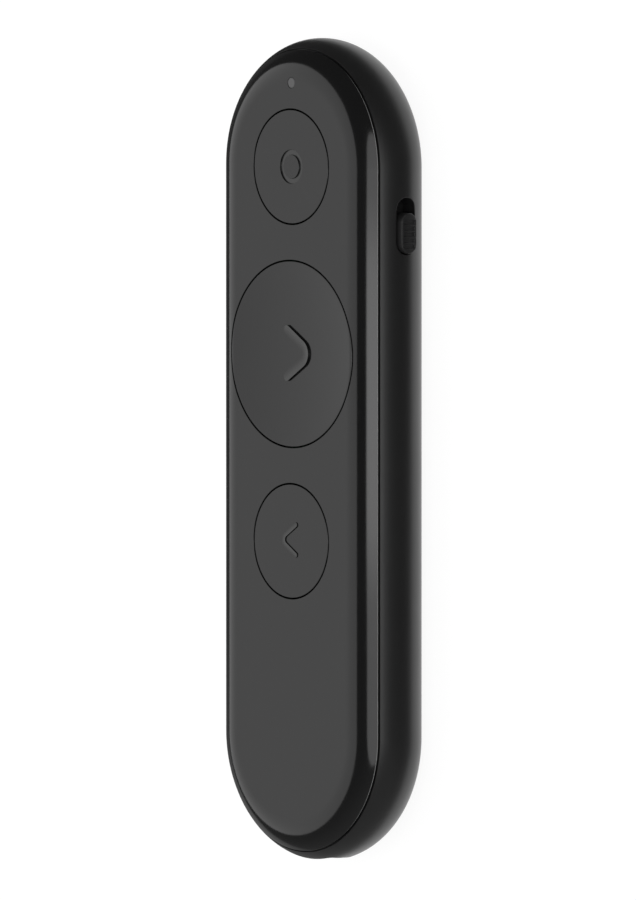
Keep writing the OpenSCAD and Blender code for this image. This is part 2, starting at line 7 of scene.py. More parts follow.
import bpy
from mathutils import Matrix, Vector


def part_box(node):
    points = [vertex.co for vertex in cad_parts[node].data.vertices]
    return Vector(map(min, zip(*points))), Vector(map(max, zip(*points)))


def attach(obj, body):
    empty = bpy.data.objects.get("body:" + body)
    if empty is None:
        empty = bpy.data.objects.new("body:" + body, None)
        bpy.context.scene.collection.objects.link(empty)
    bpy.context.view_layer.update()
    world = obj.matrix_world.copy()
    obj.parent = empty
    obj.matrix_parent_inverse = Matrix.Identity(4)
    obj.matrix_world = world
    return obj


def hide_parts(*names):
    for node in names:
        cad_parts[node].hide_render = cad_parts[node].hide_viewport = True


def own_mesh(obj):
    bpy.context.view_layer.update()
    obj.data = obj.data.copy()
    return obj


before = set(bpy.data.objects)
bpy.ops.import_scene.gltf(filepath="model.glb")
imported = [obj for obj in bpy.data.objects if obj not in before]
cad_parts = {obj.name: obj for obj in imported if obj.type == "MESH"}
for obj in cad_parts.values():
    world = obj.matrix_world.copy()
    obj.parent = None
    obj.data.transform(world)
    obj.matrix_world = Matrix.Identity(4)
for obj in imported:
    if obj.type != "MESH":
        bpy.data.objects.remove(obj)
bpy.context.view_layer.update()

# %% [markdown]
# Everything below is worked out in millimetres and divided by 1000 as it goes into a mesh, because
# Blender counts in metres. numpy works on whole arrays at once, so a shape of ten thousand points
# needs no loop over its points.

# %% Tools
import bpy
import numpy as np
from math import radians
from mathutils import Matrix, Vector

MM = 0.001  # one millimetre in Blender's metres


def node_box(name):
    """Lowest and highest corner of a solid, in millimetres."""
    lo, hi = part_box(name)
    return np.array(lo) / MM, np.array(hi) / MM


def unit(v):
    """Each vector of an array divided by its own length."""
    return v / np.maximum(np.linalg.norm(v, axis=-1, keepdims=True), 1e-12)


# %% [markdown]
# The photograph looks down on the clicker from its right, with the round upper end at the top of
# the picture. It has next to no perspective, so a very long lens stands far away. The camera's
# place comes from three directions: towards the camera, the picture's right and the picture's up.
# The height of the picture at the clicker and the lens together give the distance.

# %% Camera
to_camera = Vector((0.7607, 0.0464, 0.6474)).normalized()
picture_right = Vector((0.6481, 0, -0.7615)).normalized()
picture_up = to_camera.cross(picture_right)
PICTURE_HEIGHT = 0.12662
FACE_MIDDLE = Vector((0, 0, 0.012))
AIM_RIGHT, AIM_UP = 0.003752, 0.000123
aim = FACE_MIDDLE + AIM_RIGHT * picture_right + AIM_UP * picture_up

lens_data = bpy.data.cameras.new("long_lens")
lens_data.sensor_width = 36
lens_data.lens = 1000
distance = PICTURE_HEIGHT * lens_data.lens / lens_data.sensor_width
camera = bpy.data.objects.new("camera", lens_data)
bpy.context.scene.collection.objects.link(camera)
camera.matrix_world = Matrix.Translation(aim + distance * to_camera) @ Matrix(
    (picture_right, picture_up, to_camera)).transposed().to_4x4()
lens_data.clip_start, lens_data.clip_end = 0.1, 20
bpy.context.scene.camera = camera
print("camera distance in m:", round(distance, 3))

# %% [markdown]
# ## From points to a mesh
# Each piece is a few sheets: a sheet is a grid of points that is a function of two parameters, with
# the direction that the surface faces at each point. Sheets that meet share their edge points,
# which are merged, and each corner of a face keeps its own direction. So a round edge is smooth, a
# sharp edge stays sharp, and large flat areas have no false shading.

# %% Sheets
def sheet(points, normals, closed_u=False, closed_v=False, keep=None):
    """A grid of points (rows, columns, 3) as four-sided faces between neighbouring rows and
    columns. closed_u joins the last row to the first one, closed_v the last column to the first
    one, and keep is a mask of the faces that stay."""
    rows, columns = points.shape[:2]
    i = np.arange(rows if closed_u else rows - 1)[:, None]
    j = np.arange(columns if closed_v else columns - 1)[None, :]
    i2, j2 = (i + 1) % rows, (j + 1) % columns
    faces = np.stack(np.broadcast_arrays(i * columns + j, i * columns + j2, i2 * columns + j2,
                                         i2 * columns + j), -1)
    if keep is not None:
        faces = faces[keep]
    return points.reshape(-1, 3), unit(normals).reshape(-1, 3), faces.reshape(-1, 4)


def all_facing(points, direction):
    """One direction, given for each of the points."""
    return np.broadcast_to(np.array(direction, float), points.shape)


# %% [markdown]
# A mesh in Blender is a list of points, a list of corners that name points, and for each face the
# place where its corners start. numpy fills these lists at once. The merging counts the points on a
# grid of half a thousandth of a millimetre, so that two sheets that meet become one closed skin.

# %% Pieces
MERGE_MM = 0.0005


def make_piece(name, sheets):
    """One object of all the sheets. Points nearer than MERGE_MM become one, a face with two equal
    corners becomes a triangle, and a face that lies against its directions is turned over."""
    counts = np.cumsum([0] + [len(s[0]) for s in sheets])
    points = np.concatenate([s[0] for s in sheets])
    normals = np.concatenate([s[1] for s in sheets])
    faces = np.concatenate([s[2] + n for s, n in zip(sheets, counts)])
    first, place = np.unique(np.round(points / MERGE_MM).astype(np.int64), axis=0,
                             return_index=True, return_inverse=True)[1:]
    place = place.reshape(-1)
    corner = points[faces]
    facing = np.cross(corner[:, 2] - corner[:, 0], corner[:, 3] - corner[:, 1])
    turned = (facing * normals[faces].mean(1)).sum(1) < 0
    faces[turned] = faces[turned][:, ::-1]
    index = place[faces]
    same = index == np.roll(index, -1, axis=1)
    flat = (index[:, 0] == index[:, 2]) | (index[:, 1] == index[:, 3]) | (same.sum(1) > 1)
    faces, index, same = faces[~flat], index[~flat], same[~flat]
    used = ~same
    starts = np.concatenate([[0], np.cumsum(used.sum(1))[:-1]]).astype(np.int32)
    kept, corners = np.unique(index[used], return_inverse=True)
    mesh = bpy.data.meshes.new(name)
    mesh.vertices.add(len(kept))
    mesh.vertices.foreach_set("co", (points[first][kept] * MM).astype(np.float32).ravel())
    mesh.loops.add(len(corners))
    mesh.loops.foreach_set("vertex_index", corners.astype(np.int32))
    mesh.polygons.add(len(index))
    mesh.polygons.foreach_set("loop_start", starts)
    mesh.polygons.foreach_set("use_smooth", np.ones(len(index), bool))
    mesh.update(calc_edges=True)
    mesh.normals_split_custom_set(normals[faces[used]].tolist())
    piece = bpy.data.objects.new(name, mesh)
    bpy.context.scene.collection.objects.link(piece)
    print(f"{name}: {len(mesh.vertices)} points, {len(mesh.polygons)} faces")
    return piece


# %% [markdown]
# ## The body's round shape
# The clicker's body is a pill: all points within 6 mm of a flat round-ended plate at half height.
# So its height over any point of the plan, and the way the surface faces there, follow from the
# distance to the plate's middle line. The sizes are read from the solids.

# %% The pill as a function
housing_lo, housing_hi = node_box("rear_housing")
half_l, half_w = housing_hi[1], -housing_lo[0]
top_z = node_box("front_cover")[1][2]
side_r = top_z / 2
flat_w = half_w - side_r
spine = half_l - half_w


def spine_point(x, y):
    """Nearest point of the middle line, which runs along Y from -spine to spine."""
    return np.zeros_like(x), np.clip(y, -spine, spine)


def pill_height(x, y, inset=0.0):
    """Height of the upper skin: half height plus the round side's height at this distance."""
    sx, sy = spine_point(x, y)
    over = np.maximum(np.hypot(x - sx, y - sy) - flat_w, 0)
    return side_r + np.sqrt(np.maximum((side_r - inset) ** 2 - over ** 2, 0))


def pill_normal(x, y, z):
    """Direction from the nearest point of the flat plate at half height."""
    sx, sy = spine_point(x, y)
    away = np.stack([x - sx, y - sy], -1)
    far = np.linalg.norm(away, axis=-1, keepdims=True)
    near = away * np.minimum(1, flat_w / np.maximum(far, 1e-9))
    return unit(np.concatenate([away - near, (z - side_r)[..., None]], -1))


print("pill in mm:", *(round(size, 2) for size in (2 * half_l, 2 * half_w, top_z)))

# %% [markdown]
# A lip, rim or skirt that runs all round the body is a profile carried along the outline. The
# outline is the middle line with a direction at each step: straight up the right side, round the
# upper end, down the left side and round the lower end. All rings round the body use the same
# steps, so the steps hold every place where the cover changes from one hole's band to the next,
# and both ends of the window that the slide switch gets in the side.

# %% The outline
BAND_YS = (-23.0, -2.0, 29.4)
LAST_CHORD_Y = 49.6
SLOT_WINDOW = (24.7, 39.3)
SIDE_POINTS, END_POINTS = 141, 73


def side_steps():
    """Steps up a straight side, close enough for the key holes, with each band edge among them."""
    steps = np.concatenate([np.linspace(-spine, spine, SIDE_POINTS), BAND_YS, SLOT_WINDOW])
    return np.unique(np.clip(np.round(steps, 4), -spine, spine))


def end_steps():
    """Angles round an end, among them the ones where the last band's chord meets the edge."""
    chord = np.degrees(np.arcsin((LAST_CHORD_Y - spine) / cover_edge))
    angles = np.concatenate([np.linspace(0, 180, END_POINTS), [chord, 180 - chord]])
    return np.unique(np.round(angles, 6))


def outline():
    """(base points, directions) round the body, both in plan, as one closed loop."""
    ys, angles = side_steps(), np.radians(end_steps())
    up = np.stack([np.zeros_like(ys), ys], -1)
    round_end = np.stack([np.cos(angles), np.sin(angles)], -1)[1:-1]
    right = np.tile([1.0, 0.0], (len(ys), 1))
    base = np.concatenate([up, np.tile([0, spine], (len(round_end), 1)), up[::-1],
                           np.tile([0, -spine], (len(round_end), 1))])
    out = np.concatenate([right, round_end, -right, -round_end])
    return base, out


# %% [markdown]
# A profile is a list of rows: how far out and how high a point lies, and how far the surface faces
# outwards and upwards there. It is put together from arcs and straight lines, like a section in a
# drawing, and then carried round the outline. A corner keeps two rows, one for each of its sides,
# so it stays sharp.

# %% Profiles
def carry(base, out, profile, keep=None):
    """The profile carried along the outline. Each row of the profile is (distance from the middle
    line, height, how far it faces outwards, how far it faces up)."""
    d, z, n_out, n_up = np.array(profile, float).T
    plan = base[:, None] + out[:, None] * d[None, :, None]
    points = np.concatenate([plan, np.broadcast_to(z[None, :, None], plan.shape[:2] + (1,))], -1)
    facing = np.concatenate([out[:, None] * n_out[None, :, None],
                             np.broadcast_to(n_up[None, :, None], plan.shape[:2] + (1,))], -1)
    return sheet(points, facing, closed_u=True, keep=keep)


def arc(centre, r, start, end, steps, inside=False):
    """Profile rows round an arc. The angle is 0 where it faces up, and 90 where it faces out."""
    a = np.radians(np.linspace(start, end, steps))
    turn = -1 if inside else 1
    return np.stack([centre[0] + r * np.sin(a), centre[1] + r * np.cos(a),
                     turn * np.sin(a), turn * np.cos(a)], -1)


def line(a, b, n_out, n_up, steps=2):
    """Profile rows along a straight line, which all face the same way."""
    d, z = np.linspace(a[0], b[0], steps), np.linspace(a[1], b[1], steps)
    return np.stack([d, z, np.full(steps, n_out, float), np.full(steps, n_up, float)], -1)


# %% [markdown]
# ## Front cover
# The cover is a thin moulded shell with three round key holes and a pin hole for the light. A
# boolean would cut such holes, but it leaves long thin triangles that show in a gloss. Here the
# cover is laid out in bands, one for each hole. In each band the points run on straight lines from
# the hole's edge to the band's edge, and the pill's own function lifts them to their height.
#
# The cover ends in a small round lip above the seam. Behind the lip the cover steps down in a
# tongue and a skirt, which reach into the housing and close the seam, so that no light falls
# through it. The housing's rim is cut at right angles to the skin, and mirrors the dark gap there
# and not a lamp.

# %% The seam's sizes
COVER_T, WALL_T = 1.2, 1.4  # thickness of the cover's plate and of the housing's wall
SEAM_Z, RIM_Z = 9.93, 9.77  # height of the cover's lower edge and of the housing's rim
LIP_R, RIM_R = 0.08, 0.03  # rounding of the two edges
CUT_DEPTH, TONGUE_IN, CLOSE_GAP = 0.25, 0.3, 0.04  # rim's width, tongue's setback, gap below it
SKIRT_GAP, SKIRT_T, SKIRT_DROP = 0.17, 0.8, 0.95  # skirt: gap to the wall, thickness, length

lip_z = SEAM_Z + LIP_R
lip_d = flat_w + np.sqrt((side_r - LIP_R) ** 2 - (lip_z - side_r) ** 2)
lip_angle = np.degrees(np.arctan2(lip_d - flat_w, lip_z - side_r))
cover_edge = flat_w + side_r * np.sin(np.radians(lip_angle))
cut_angle = np.arccos((RIM_Z - side_r) / side_r)
ledge_d = flat_w + (side_r - CUT_DEPTH) * np.sin(cut_angle)
ledge_z = side_r + (side_r - CUT_DEPTH) * np.cos(cut_angle)
skirt_out = flat_w + np.sqrt((side_r - WALL_T) ** 2 - (ledge_z - side_r) ** 2) - SKIRT_GAP
skirt_in, skirt_z = skirt_out - SKIRT_T, ledge_z - SKIRT_DROP
tongue_d, tongue_z = cover_edge - TONGUE_IN, ledge_z + CLOSE_GAP
print("the cover's skin ends", round(cover_edge, 3), "mm from the middle line, at",
      round(lip_angle, 1), "degrees")

# %% [markdown]
# The cover's edge in section, from the lip's rounding over the tongue and the skirt to the inner
# side of the plate.

# %% The cover's profile
inner_top = pill_height(np.array([skirt_in]), np.array([0.0]), COVER_T)[0]
cover_profile = np.concatenate([
    arc((lip_d, lip_z), LIP_R, lip_angle, 180, 9),
    line((lip_d, SEAM_Z), (tongue_d, SEAM_Z), 0, -1),
    line((tongue_d, SEAM_Z), (tongue_d, tongue_z), 1, 0),
    line((tongue_d, tongue_z), (skirt_out, tongue_z), 0, -1),
    line((skirt_out, tongue_z), (skirt_out, skirt_z), 1, 0),
    line((skirt_out, skirt_z), (skirt_in, skirt_z), 0, -1),
    line((skirt_in, skirt_z), (skirt_in, inner_top), -1, 0)])
print("cover's profile:", len(cover_profile), "rows")

# %% [markdown]
# A band lies between two chords that cross the body. Its edge is a closed loop: up the right side,
# back along the upper chord, down the left side and along the lower chord. A chord is bent a
# little, so that its ends meet points of the side. Both neighbours use the same chord, so the
# bands close without a gap.

# %% Edge of a band
CHORD_POINTS = 85


def right_edge(radius):
    """The outline's right half at a distance from the middle line, from the lower end upwards."""
    base, out = outline()
    order = np.lexsort((out[:, 1], base[:, 1]))
    rim, way = (base + radius * out)[order], out[order]
    return rim[way[:, 0] > -1e-9]


def band_loop(radius, low, high):
    """The band's edge in plan, seen from above: right side, chord, left side and chord. The
    band's limits are given at the cover's own edge, and the same points are used further in."""
    at_edge, edge = right_edge(cover_edge), right_edge(radius)
    keep = (at_edge[:, 1] > low - 1e-3) & (at_edge[:, 1] < high + 1e-3)
    right = edge[keep]
    share = np.linspace(-1, 1, CHORD_POINTS)[1:-1, None]

    def chord(corner, level):
        x = share * corner[0]
        return np.concatenate([x, level + np.abs(share) * (corner[1] - level)], -1)

    loops = [right]
    if high < half_l - 1:
        loops.append(chord(right[-1], high)[::-1])
    loops.append(right[::-1] * [-1, 1])
    if low > -half_l + 1:
        loops.append(chord(right[0], low))
    loop = np.concatenate(loops)
    return loop[np.linalg.norm(loop - np.roll(loop, 1, axis=0), axis=1) > 1e-6]


# %% [markdown]
# From each point of the edge a straight line runs to the hole. Along it the plan is a plain mix of
# its two ends, and the height is the pill's. The hole's own edge is a quarter circle in section,
# which starts along the skin and ends in the upright wall.

# %% Skin and wall round a hole
EDGE_STEPS = 6


def quarter_turn(steps=EDGE_STEPS):
    """Angles of a quarter circle, as a column."""
    return np.linspace(0, np.pi / 2, steps)[:, None]


def band(loop, way, centre, hole_r, steps, inset=0.0):
    """Straight lines from the hole's circle to the band's edge, lifted on to the pill's skin. With
    a hole of no size they meet in one point. Inside the shell the surface faces down."""
    circle = centre + hole_r * way
    t = np.linspace(0, 1, steps)[:, None, None]
    plan = circle * (1 - t) + loop * t
    x, y = plan[..., 0], plan[..., 1]
    z = pill_height(x, y, inset)
    facing = pill_normal(x, y, z) * (-1 if inset else 1)
    return sheet(np.dstack([x, y, z]), facing, closed_v=True)


def hole_wall(way, centre, hole_r, edge_r, inset):
    """The hole's rounded edge and its wall: a quarter circle and a straight line, turned round."""
    turn = quarter_turn()
    rho = hole_r + edge_r * (1 - np.sin(turn))
    x, y = centre[0] + rho * way[:, 0], centre[1] + rho * way[:, 1]
    z = pill_height(x, y) - edge_r * (1 - np.cos(turn))
    radial = np.dstack([np.broadcast_to(-way[:, 0], x.shape), np.broadcast_to(-way[:, 1], x.shape),
                        np.zeros_like(x)])
    facing = (np.cos(turn)[..., None] * pill_normal(x, y, pill_height(x, y))
              + np.sin(turn)[..., None] * radial)
    foot = pill_height(x[-1], y[-1], inset)
    wall = np.stack([np.stack([x[-1], y[-1], z[-1]], -1), np.stack([x[-1], y[-1], foot], -1)])
    return [sheet(np.dstack([x, y, z]), facing, closed_v=True),
            sheet(wall, radial[:2], closed_v=True)]


# %% [markdown]
# The keys and the light pipe stand where their solids do, and each hole is a little wider than
# what stands in it. Below the keys the cover is plain, and its band runs together in one point. The
# cover's inner side is made in the same way, further in and facing down, and the hole walls join
# the two.

# %% Front cover
KEY_GAP, LIGHT_GAP = 0.2, 0.03
HOLE_EDGE_R, PIN_HOLE_EDGE_R = 0.06, 0.05
LIGHT_R = 0.725
PLAIN_MIDDLE = np.array([0.0, -36.0])


def key_place(name):
    """Centre in plan and radius of a key, from its solid's box."""
    lo, hi = node_box(name)
    return np.array([(lo[0] + hi[0]) / 2, (lo[1] + hi[1]) / 2]), (hi[0] - lo[0]) / 2


KEYS = {name: key_place(name + "_button") for name in ("back", "next", "spot")}
light_lo, light_hi = node_box("light_pipe")
light_at = np.array([0.0, (light_lo[1] + light_hi[1]) / 2])
chords = (*BAND_YS, LAST_CHORD_Y, half_l)
holes = [(*KEYS[name], KEY_GAP, HOLE_EDGE_R) for name in KEYS]
holes.append((light_at, LIGHT_R, LIGHT_GAP, PIN_HOLE_EDGE_R))
cover_sheets = [carry(*outline(), cover_profile)]
for radius, inset, steps in ((cover_edge, 0.0, 24), (skirt_in, COVER_T, 8)):
    plain = band_loop(radius, -half_l, BAND_YS[0])
    cover_sheets.append(band(plain, plain * 0, PLAIN_MIDDLE, 0.0, steps + 8, inset))
    for low, high, (centre, inner_r, gap, edge_r) in zip(chords, chords[1:], holes):
        hole_r = inner_r + gap
        way = unit(band_loop(cover_edge, low, high) - centre)
        cover_sheets.append(band(band_loop(radius, low, high), way, centre,
                                 hole_r + (0 if inset else edge_r), steps, inset))
        if not inset:
            cover_sheets += hole_wall(way, centre, hole_r, edge_r, COVER_T)
cover = make_piece("glossy_front_cover", cover_sheets)

# %% [markdown]
# ## Rear housing
# The housing is the other half of the pill: from its level rim under the seam, round the side, to
# the flat back. It is again a profile carried along the outline, once for the outer skin and once
# for the inner one. The slot of the slide switch and the mouth of the charging port are windows:
# a few faces are left out, and a patch joins the window's edge to the round-ended hole.

# %% The housing's rim and windows
WINDOW_ANGLES = (66.0, 114.0)  # the band of the round side that the windows lie in
PORT_WINDOW = 20.0  # degrees to each side of the lower end's middle
GUIDE_X = 15.4  # inner face of the block behind the slot

cut = np.degrees(cut_angle)
rim_angle = cut + np.degrees(np.arcsin(RIM_R / (side_r - RIM_R)))
rim_turn = np.radians(rim_angle)
rim_way = np.array([np.sin(rim_turn), np.cos(rim_turn)])
rim_centre = np.array([flat_w, side_r]) + (side_r - RIM_R) * rim_way
cut_facing = np.array([-np.cos(cut_angle), np.sin(cut_angle)])
inner_r = side_r - WALL_T
inner_split = np.degrees(np.arcsin((GUIDE_X - flat_w) / inner_r))
INNER_ANGLES = (inner_split, 180 - inner_split)
inner_start = np.degrees(np.arccos((ledge_z - side_r) / inner_r))
rim_in = flat_w + inner_r * np.sin(np.radians(inner_start))
middle = (flat_w, side_r)


def window_mask(base, out, columns):
    """True for the faces that stay: not beside the slot on the right, nor at the port's mouth. A
    face goes from one step of the outline to the next, so both of its steps are tested."""
    y, n = base[:, 1], out
    y2, n2 = np.roll(y, -1), np.roll(out, -1, axis=0)
    right = (n[:, 0] > 0.999) & (n2[:, 0] > 0.999)
    slot = right & (y > SLOT_WINDOW[0] - 1e-6) & (y2 < SLOT_WINDOW[1] + 1e-6)
    reach = np.cos(np.radians(PORT_WINDOW)) - 1e-6
    port = (-n[:, 1] > reach) & (-n2[:, 1] > reach)
    return np.repeat(~(slot | port)[:, None], columns, axis=1)


print("the rim's rounding meets the side at", round(rim_angle, 1), "degrees")

# %% [markdown]
# Six strips make the housing: outside the rim, the band with the windows and the lower part with
# the flat back, and inside the same three. Neighbouring strips share their edge rows.

# %% The housing's skins
ANGLE_STEPS = 13
base, out = outline()
outer_band = arc(middle, side_r, *WINDOW_ANGLES, ANGLE_STEPS)
inner_band = arc(middle, inner_r, *INNER_ANGLES, ANGLE_STEPS, inside=True)
housing_sheets = [
    carry(base, out, np.concatenate([
        line((rim_in, ledge_z), (ledge_d, ledge_z), 0, 1),
        line((ledge_d, ledge_z), rim_centre + RIM_R * cut_facing, *cut_facing),
        arc(rim_centre, RIM_R, cut - 90, rim_angle, 6),
        arc(middle, side_r, rim_angle, WINDOW_ANGLES[0], 8)])),
    carry(base, out, outer_band, keep=window_mask(base, out, ANGLE_STEPS - 1)),
    carry(base, out, np.concatenate([arc(middle, side_r, WINDOW_ANGLES[1], 180, 18),
                                     line((flat_w, 0), (0, 0), 0, -1, 3)])),
    carry(base, out, arc(middle, inner_r, inner_start, INNER_ANGLES[0], 5, inside=True)),
    carry(base, out, inner_band, keep=window_mask(base, out, ANGLE_STEPS - 1)),
    carry(base, out, np.concatenate([arc(middle, inner_r, INNER_ANGLES[1], 180, 8, inside=True),
                                     line((flat_w, WALL_T), (0, WALL_T), 0, 1, 3)]))]
print("housing strips:", len(housing_sheets))

# %% [markdown]
# ## Slot and port mouth
# The two windows are filled in the same way. Seen straight from the side or from the end, the hole
# is a round-ended slot. Each point of the window's edge has its nearest point on the slot's own
# middle line, and the slot's edge lies on the way between them. Lines from the one to the other
# make the patch, and the lift puts it on to the round side again.

# %% Lifts and loops
def side_lift(r):
    """From (y, z) to the right side's skin of radius r round the plate's edge."""
    def lift(p):
        x = flat_w + np.sqrt(r ** 2 - (p[..., 1] - side_r) ** 2)
        return np.stack([x, p[..., 0], p[..., 1]], -1)
    return lift


def end_lift(r):
    """From (x, z) to the lower end's skin: there a ring's radius depends on the height alone."""
    def lift(p):
        ring = flat_w + np.sqrt(r ** 2 - (p[..., 1] - side_r) ** 2)
        return np.stack([p[..., 0], -spine - np.sqrt(ring ** 2 - p[..., 0] ** 2), p[..., 1]], -1)
    return lift


def frame_loop(along, up):
    """The edge of a window as a closed loop: two rows of points along it and two columns up."""
    low, high = along[0], along[-1]
    return np.concatenate([
        np.stack([along, np.full_like(along, up[0])], -1),
        np.stack([np.full(len(up) - 2, high), up[1:-1]], -1),
        np.stack([along[::-1], np.full_like(along, up[-1])], -1),
        np.stack([np.full(len(up) - 2, low), up[-2:0:-1]], -1)])


def slot_loop(loop, centre, length, width):
    """For each point of a loop: the nearest middle point of a round-ended slot, and the way out."""
    half = (length - width) / 2
    near = np.stack([np.clip(loop[:, 0], centre[0] - half, centre[0] + half),
                     np.full(len(loop), centre[1])], -1)
    return near, unit(loop - near)


# %% [markdown]
# The patch lies on the pill's skin, so it takes the pill's own directions, and its border with the
# rest of the skin can't be seen. The hole gets a small rounding, as a moulded edge has, and then a
# straight wall.

# %% Patches and walls
def skin_normals(points):
    """The pill's own normals at points of either skin."""
    return pill_normal(points[..., 0], points[..., 1], points[..., 2])


def patch(near, way, r, loop, lift, sign=1, rows=7):
    """Lines from the slot's edge to the window's edge, lifted on to the skin."""
    t = np.linspace(0, 1, rows)[:, None, None]
    points = lift((near + r * way) * (1 - t) + loop * t)
    return sheet(points, sign * skin_normals(points), closed_v=True)


def slot_wall(near, way, r, edge_r, lift, inward, foot):
    """The slot's rounded edge, then its straight wall down to the foot's points."""
    turn = quarter_turn()[..., None]
    skin = lift(near + (r + edge_r * (1 - np.sin(turn))) * way)
    points = skin + edge_r * (1 - np.cos(turn)) * inward
    axes = [k for k in range(3) if inward[k] == 0]
    sideways = np.zeros_like(skin)
    sideways[..., axes] = -way
    facing = np.cos(turn) * skin_normals(skin) + np.sin(turn) * sideways
    return [sheet(points, facing, closed_v=True),
            sheet(np.stack([points[-1], foot]), sideways[:2], closed_v=True)]


# %% [markdown]
# The slide switch's slot is 8 mm long and stands at half the body's height. Its wall ends on the
# flat face of the guide block behind it.

# %% Slot of the slide switch
SLOT_Y, SLOT_SIZE, SLOT_EDGE_R = 32.0, (8.0, 3.3), 0.12
slot_at = np.array([SLOT_Y, side_r])
heights = outer_band[:, 1]
ys = side_steps()
window_ys = ys[(ys > SLOT_WINDOW[0] - 1e-6) & (ys < SLOT_WINDOW[1] + 1e-6)]
slot_frame = frame_loop(window_ys, heights)
near, way = slot_loop(slot_frame, slot_at, *SLOT_SIZE)
slot_r = SLOT_SIZE[1] / 2
slot_points = near + slot_r * way
slot_foot = np.insert(slot_points, 0, GUIDE_X, axis=1)
housing_sheets.append(patch(near, way, slot_r + SLOT_EDGE_R, slot_frame, side_lift(side_r)))
housing_sheets += slot_wall(near, way, slot_r, SLOT_EDGE_R, side_lift(side_r),
                            np.array([-1.0, 0, 0]), slot_foot)
print("slot patch:", len(slot_frame), "points round")

# %% [markdown]
# Inside the wall a flat block carries the knob's flange, so that the knob runs straight and stays
# in its slot. Its front is a level patch round the slot, and its four sides run out to the inner
# skin's window.

# %% The guide block behind the slot
inner_heights = inner_band[:, 1]
guide_frame = frame_loop(window_ys, inner_heights)
t = np.linspace(0, 1, 4)[:, None, None]
front = slot_points * (1 - t) + guide_frame * t
front = np.concatenate([np.full(front.shape[:2] + (1,), GUIDE_X), front], -1)
skin_edge = side_lift(inner_r)(guide_frame)
edge_way = np.zeros_like(skin_edge)
edge_way[:, 1:] = unit(guide_frame - slot_at)
housing_sheets += [
    sheet(front, all_facing(front, (-1, 0, 0)), closed_v=True),
    sheet(np.stack([front[-1], skin_edge]), np.stack([edge_way, edge_way]), closed_v=True)]

# %% [markdown]
# The charging port's mouth is cut in the same way in the lower end. It is what dips in the
# clicker's outline in the photograph. Here the window's edge runs along rings round the end, so its
# steps are angles.

# %% Mouth of the charging port
PORT_MOUTH, MOUTH_EDGE_R = (9.3, 3.56), 0.15
END_STEP = 180 / (END_POINTS - 1)
heads = np.radians(np.linspace(-PORT_WINDOW, PORT_WINDOW, round(2 * PORT_WINDOW / END_STEP) + 1))


def end_frame(r, band_heights):
    """The port window's edge in (x, z): along a ring at the top and bottom, up at the sides."""
    ring = flat_w + np.sqrt(r ** 2 - (band_heights - side_r) ** 2)
    top = np.stack([ring[0] * np.sin(heads), np.full_like(heads, band_heights[0])], -1)
    low = np.stack([ring[-1] * np.sin(heads[::-1]), np.full_like(heads, band_heights[-1])], -1)
    right = np.stack([ring * np.sin(heads[-1]), band_heights], -1)[1:-1]
    left = np.stack([ring * np.sin(heads[0]), band_heights], -1)[-2:0:-1]
    return np.concatenate([top, right, low, left])


mouth_at = np.array([0.0, side_r])
mouth_r = PORT_MOUTH[1] / 2
mouth_frame = end_frame(side_r, heights)
near, way = slot_loop(mouth_frame, mouth_at, *PORT_MOUTH)
mouth_foot = end_lift(inner_r)(near + mouth_r * way)
housing_sheets.append(patch(near, way, mouth_r + MOUTH_EDGE_R, mouth_frame, end_lift(side_r)))
housing_sheets += slot_wall(near, way, mouth_r, MOUTH_EDGE_R, end_lift(side_r),
                            np.array([0, 1.0, 0]), mouth_foot)
housing_sheets.append(patch(near, way, mouth_r, end_frame(inner_r, inner_heights),
                            end_lift(inner_r), sign=-1, rows=4))
housing = make_piece("satin_rear_housing", housing_sheets)

# %% [markdown]
# ## Round pieces
# The keys, the light pipe and the snap domes are turned: a profile goes once round an axis. The
# profile is given as corners with a rounding each, and its outside is on its left. The rounding's
# arc touches both lines: it starts at the radius times the tangent of half the angle between them,
# measured back from the corner.

# %% Turned profiles
def rounded(corners, steps=5):
    """Corners (a, b, rounding) as profile rows: straight lines that stop short of each corner, and
    an arc between them that touches both. Directions point to the left of the way."""
    c = np.array(corners, float)
    rows = []
    for k in range(len(c)):
        before = unit(c[k, :2] - c[k - 1, :2]) if k else None
        after = unit(c[k + 1, :2] - c[k, :2]) if k < len(c) - 1 else None
        ends = [d for d in (before, after) if d is not None]
        left = [np.array([-d[1], d[0]]) for d in ends]
        if c[k, 2] == 0 or len(ends) == 1:
            rows += [np.concatenate([c[k, :2], n]) for n in left]
            continue
        turn = before[0] * after[1] - before[1] * after[0]
        angle = np.arctan2(turn, before @ after)
        start = c[k, :2] - before * c[k, 2] * np.tan(abs(angle) / 2)
        centre = start + left[0] * c[k, 2] * np.sign(turn)
        for s in np.linspace(0, 1, steps):
            a = angle * s
            n = np.array([[np.cos(a), -np.sin(a)], [np.sin(a), np.cos(a)]]) @ left[0]
            rows.append(np.concatenate([centre - n * c[k, 2] * np.sign(turn), n]))
    return np.array(rows)


def turned(profile, centre, steps=128):
    """The profile (radius, height and directions) turned once round an upright axis."""
    a = np.linspace(0, 2 * np.pi, steps, endpoint=False)
    way = np.stack([np.cos(a), np.sin(a)], -1)
    return carry(np.tile(np.array(centre, float), (steps, 1)), way, profile)


# %% [markdown]
# ## Keys
# A key is a cap: a plate with a rounded edge, a skirt below and a push pin in the middle, which
# works the switch. All three have the same section below, so it is a function of the key's radius
# and the plate's height.

# %% Key caps
KEY_EDGE_R, KEY_WALL, PLATE_T, KEY_H = 0.08, 1.2, 0.9, 1.8
PIN_R, PIN_FOOT_Z, PIN_EDGE_R, INNER_EDGE_R = 1.5, 9.8, 0.1, 0.12
key_bottom = top_z - KEY_H


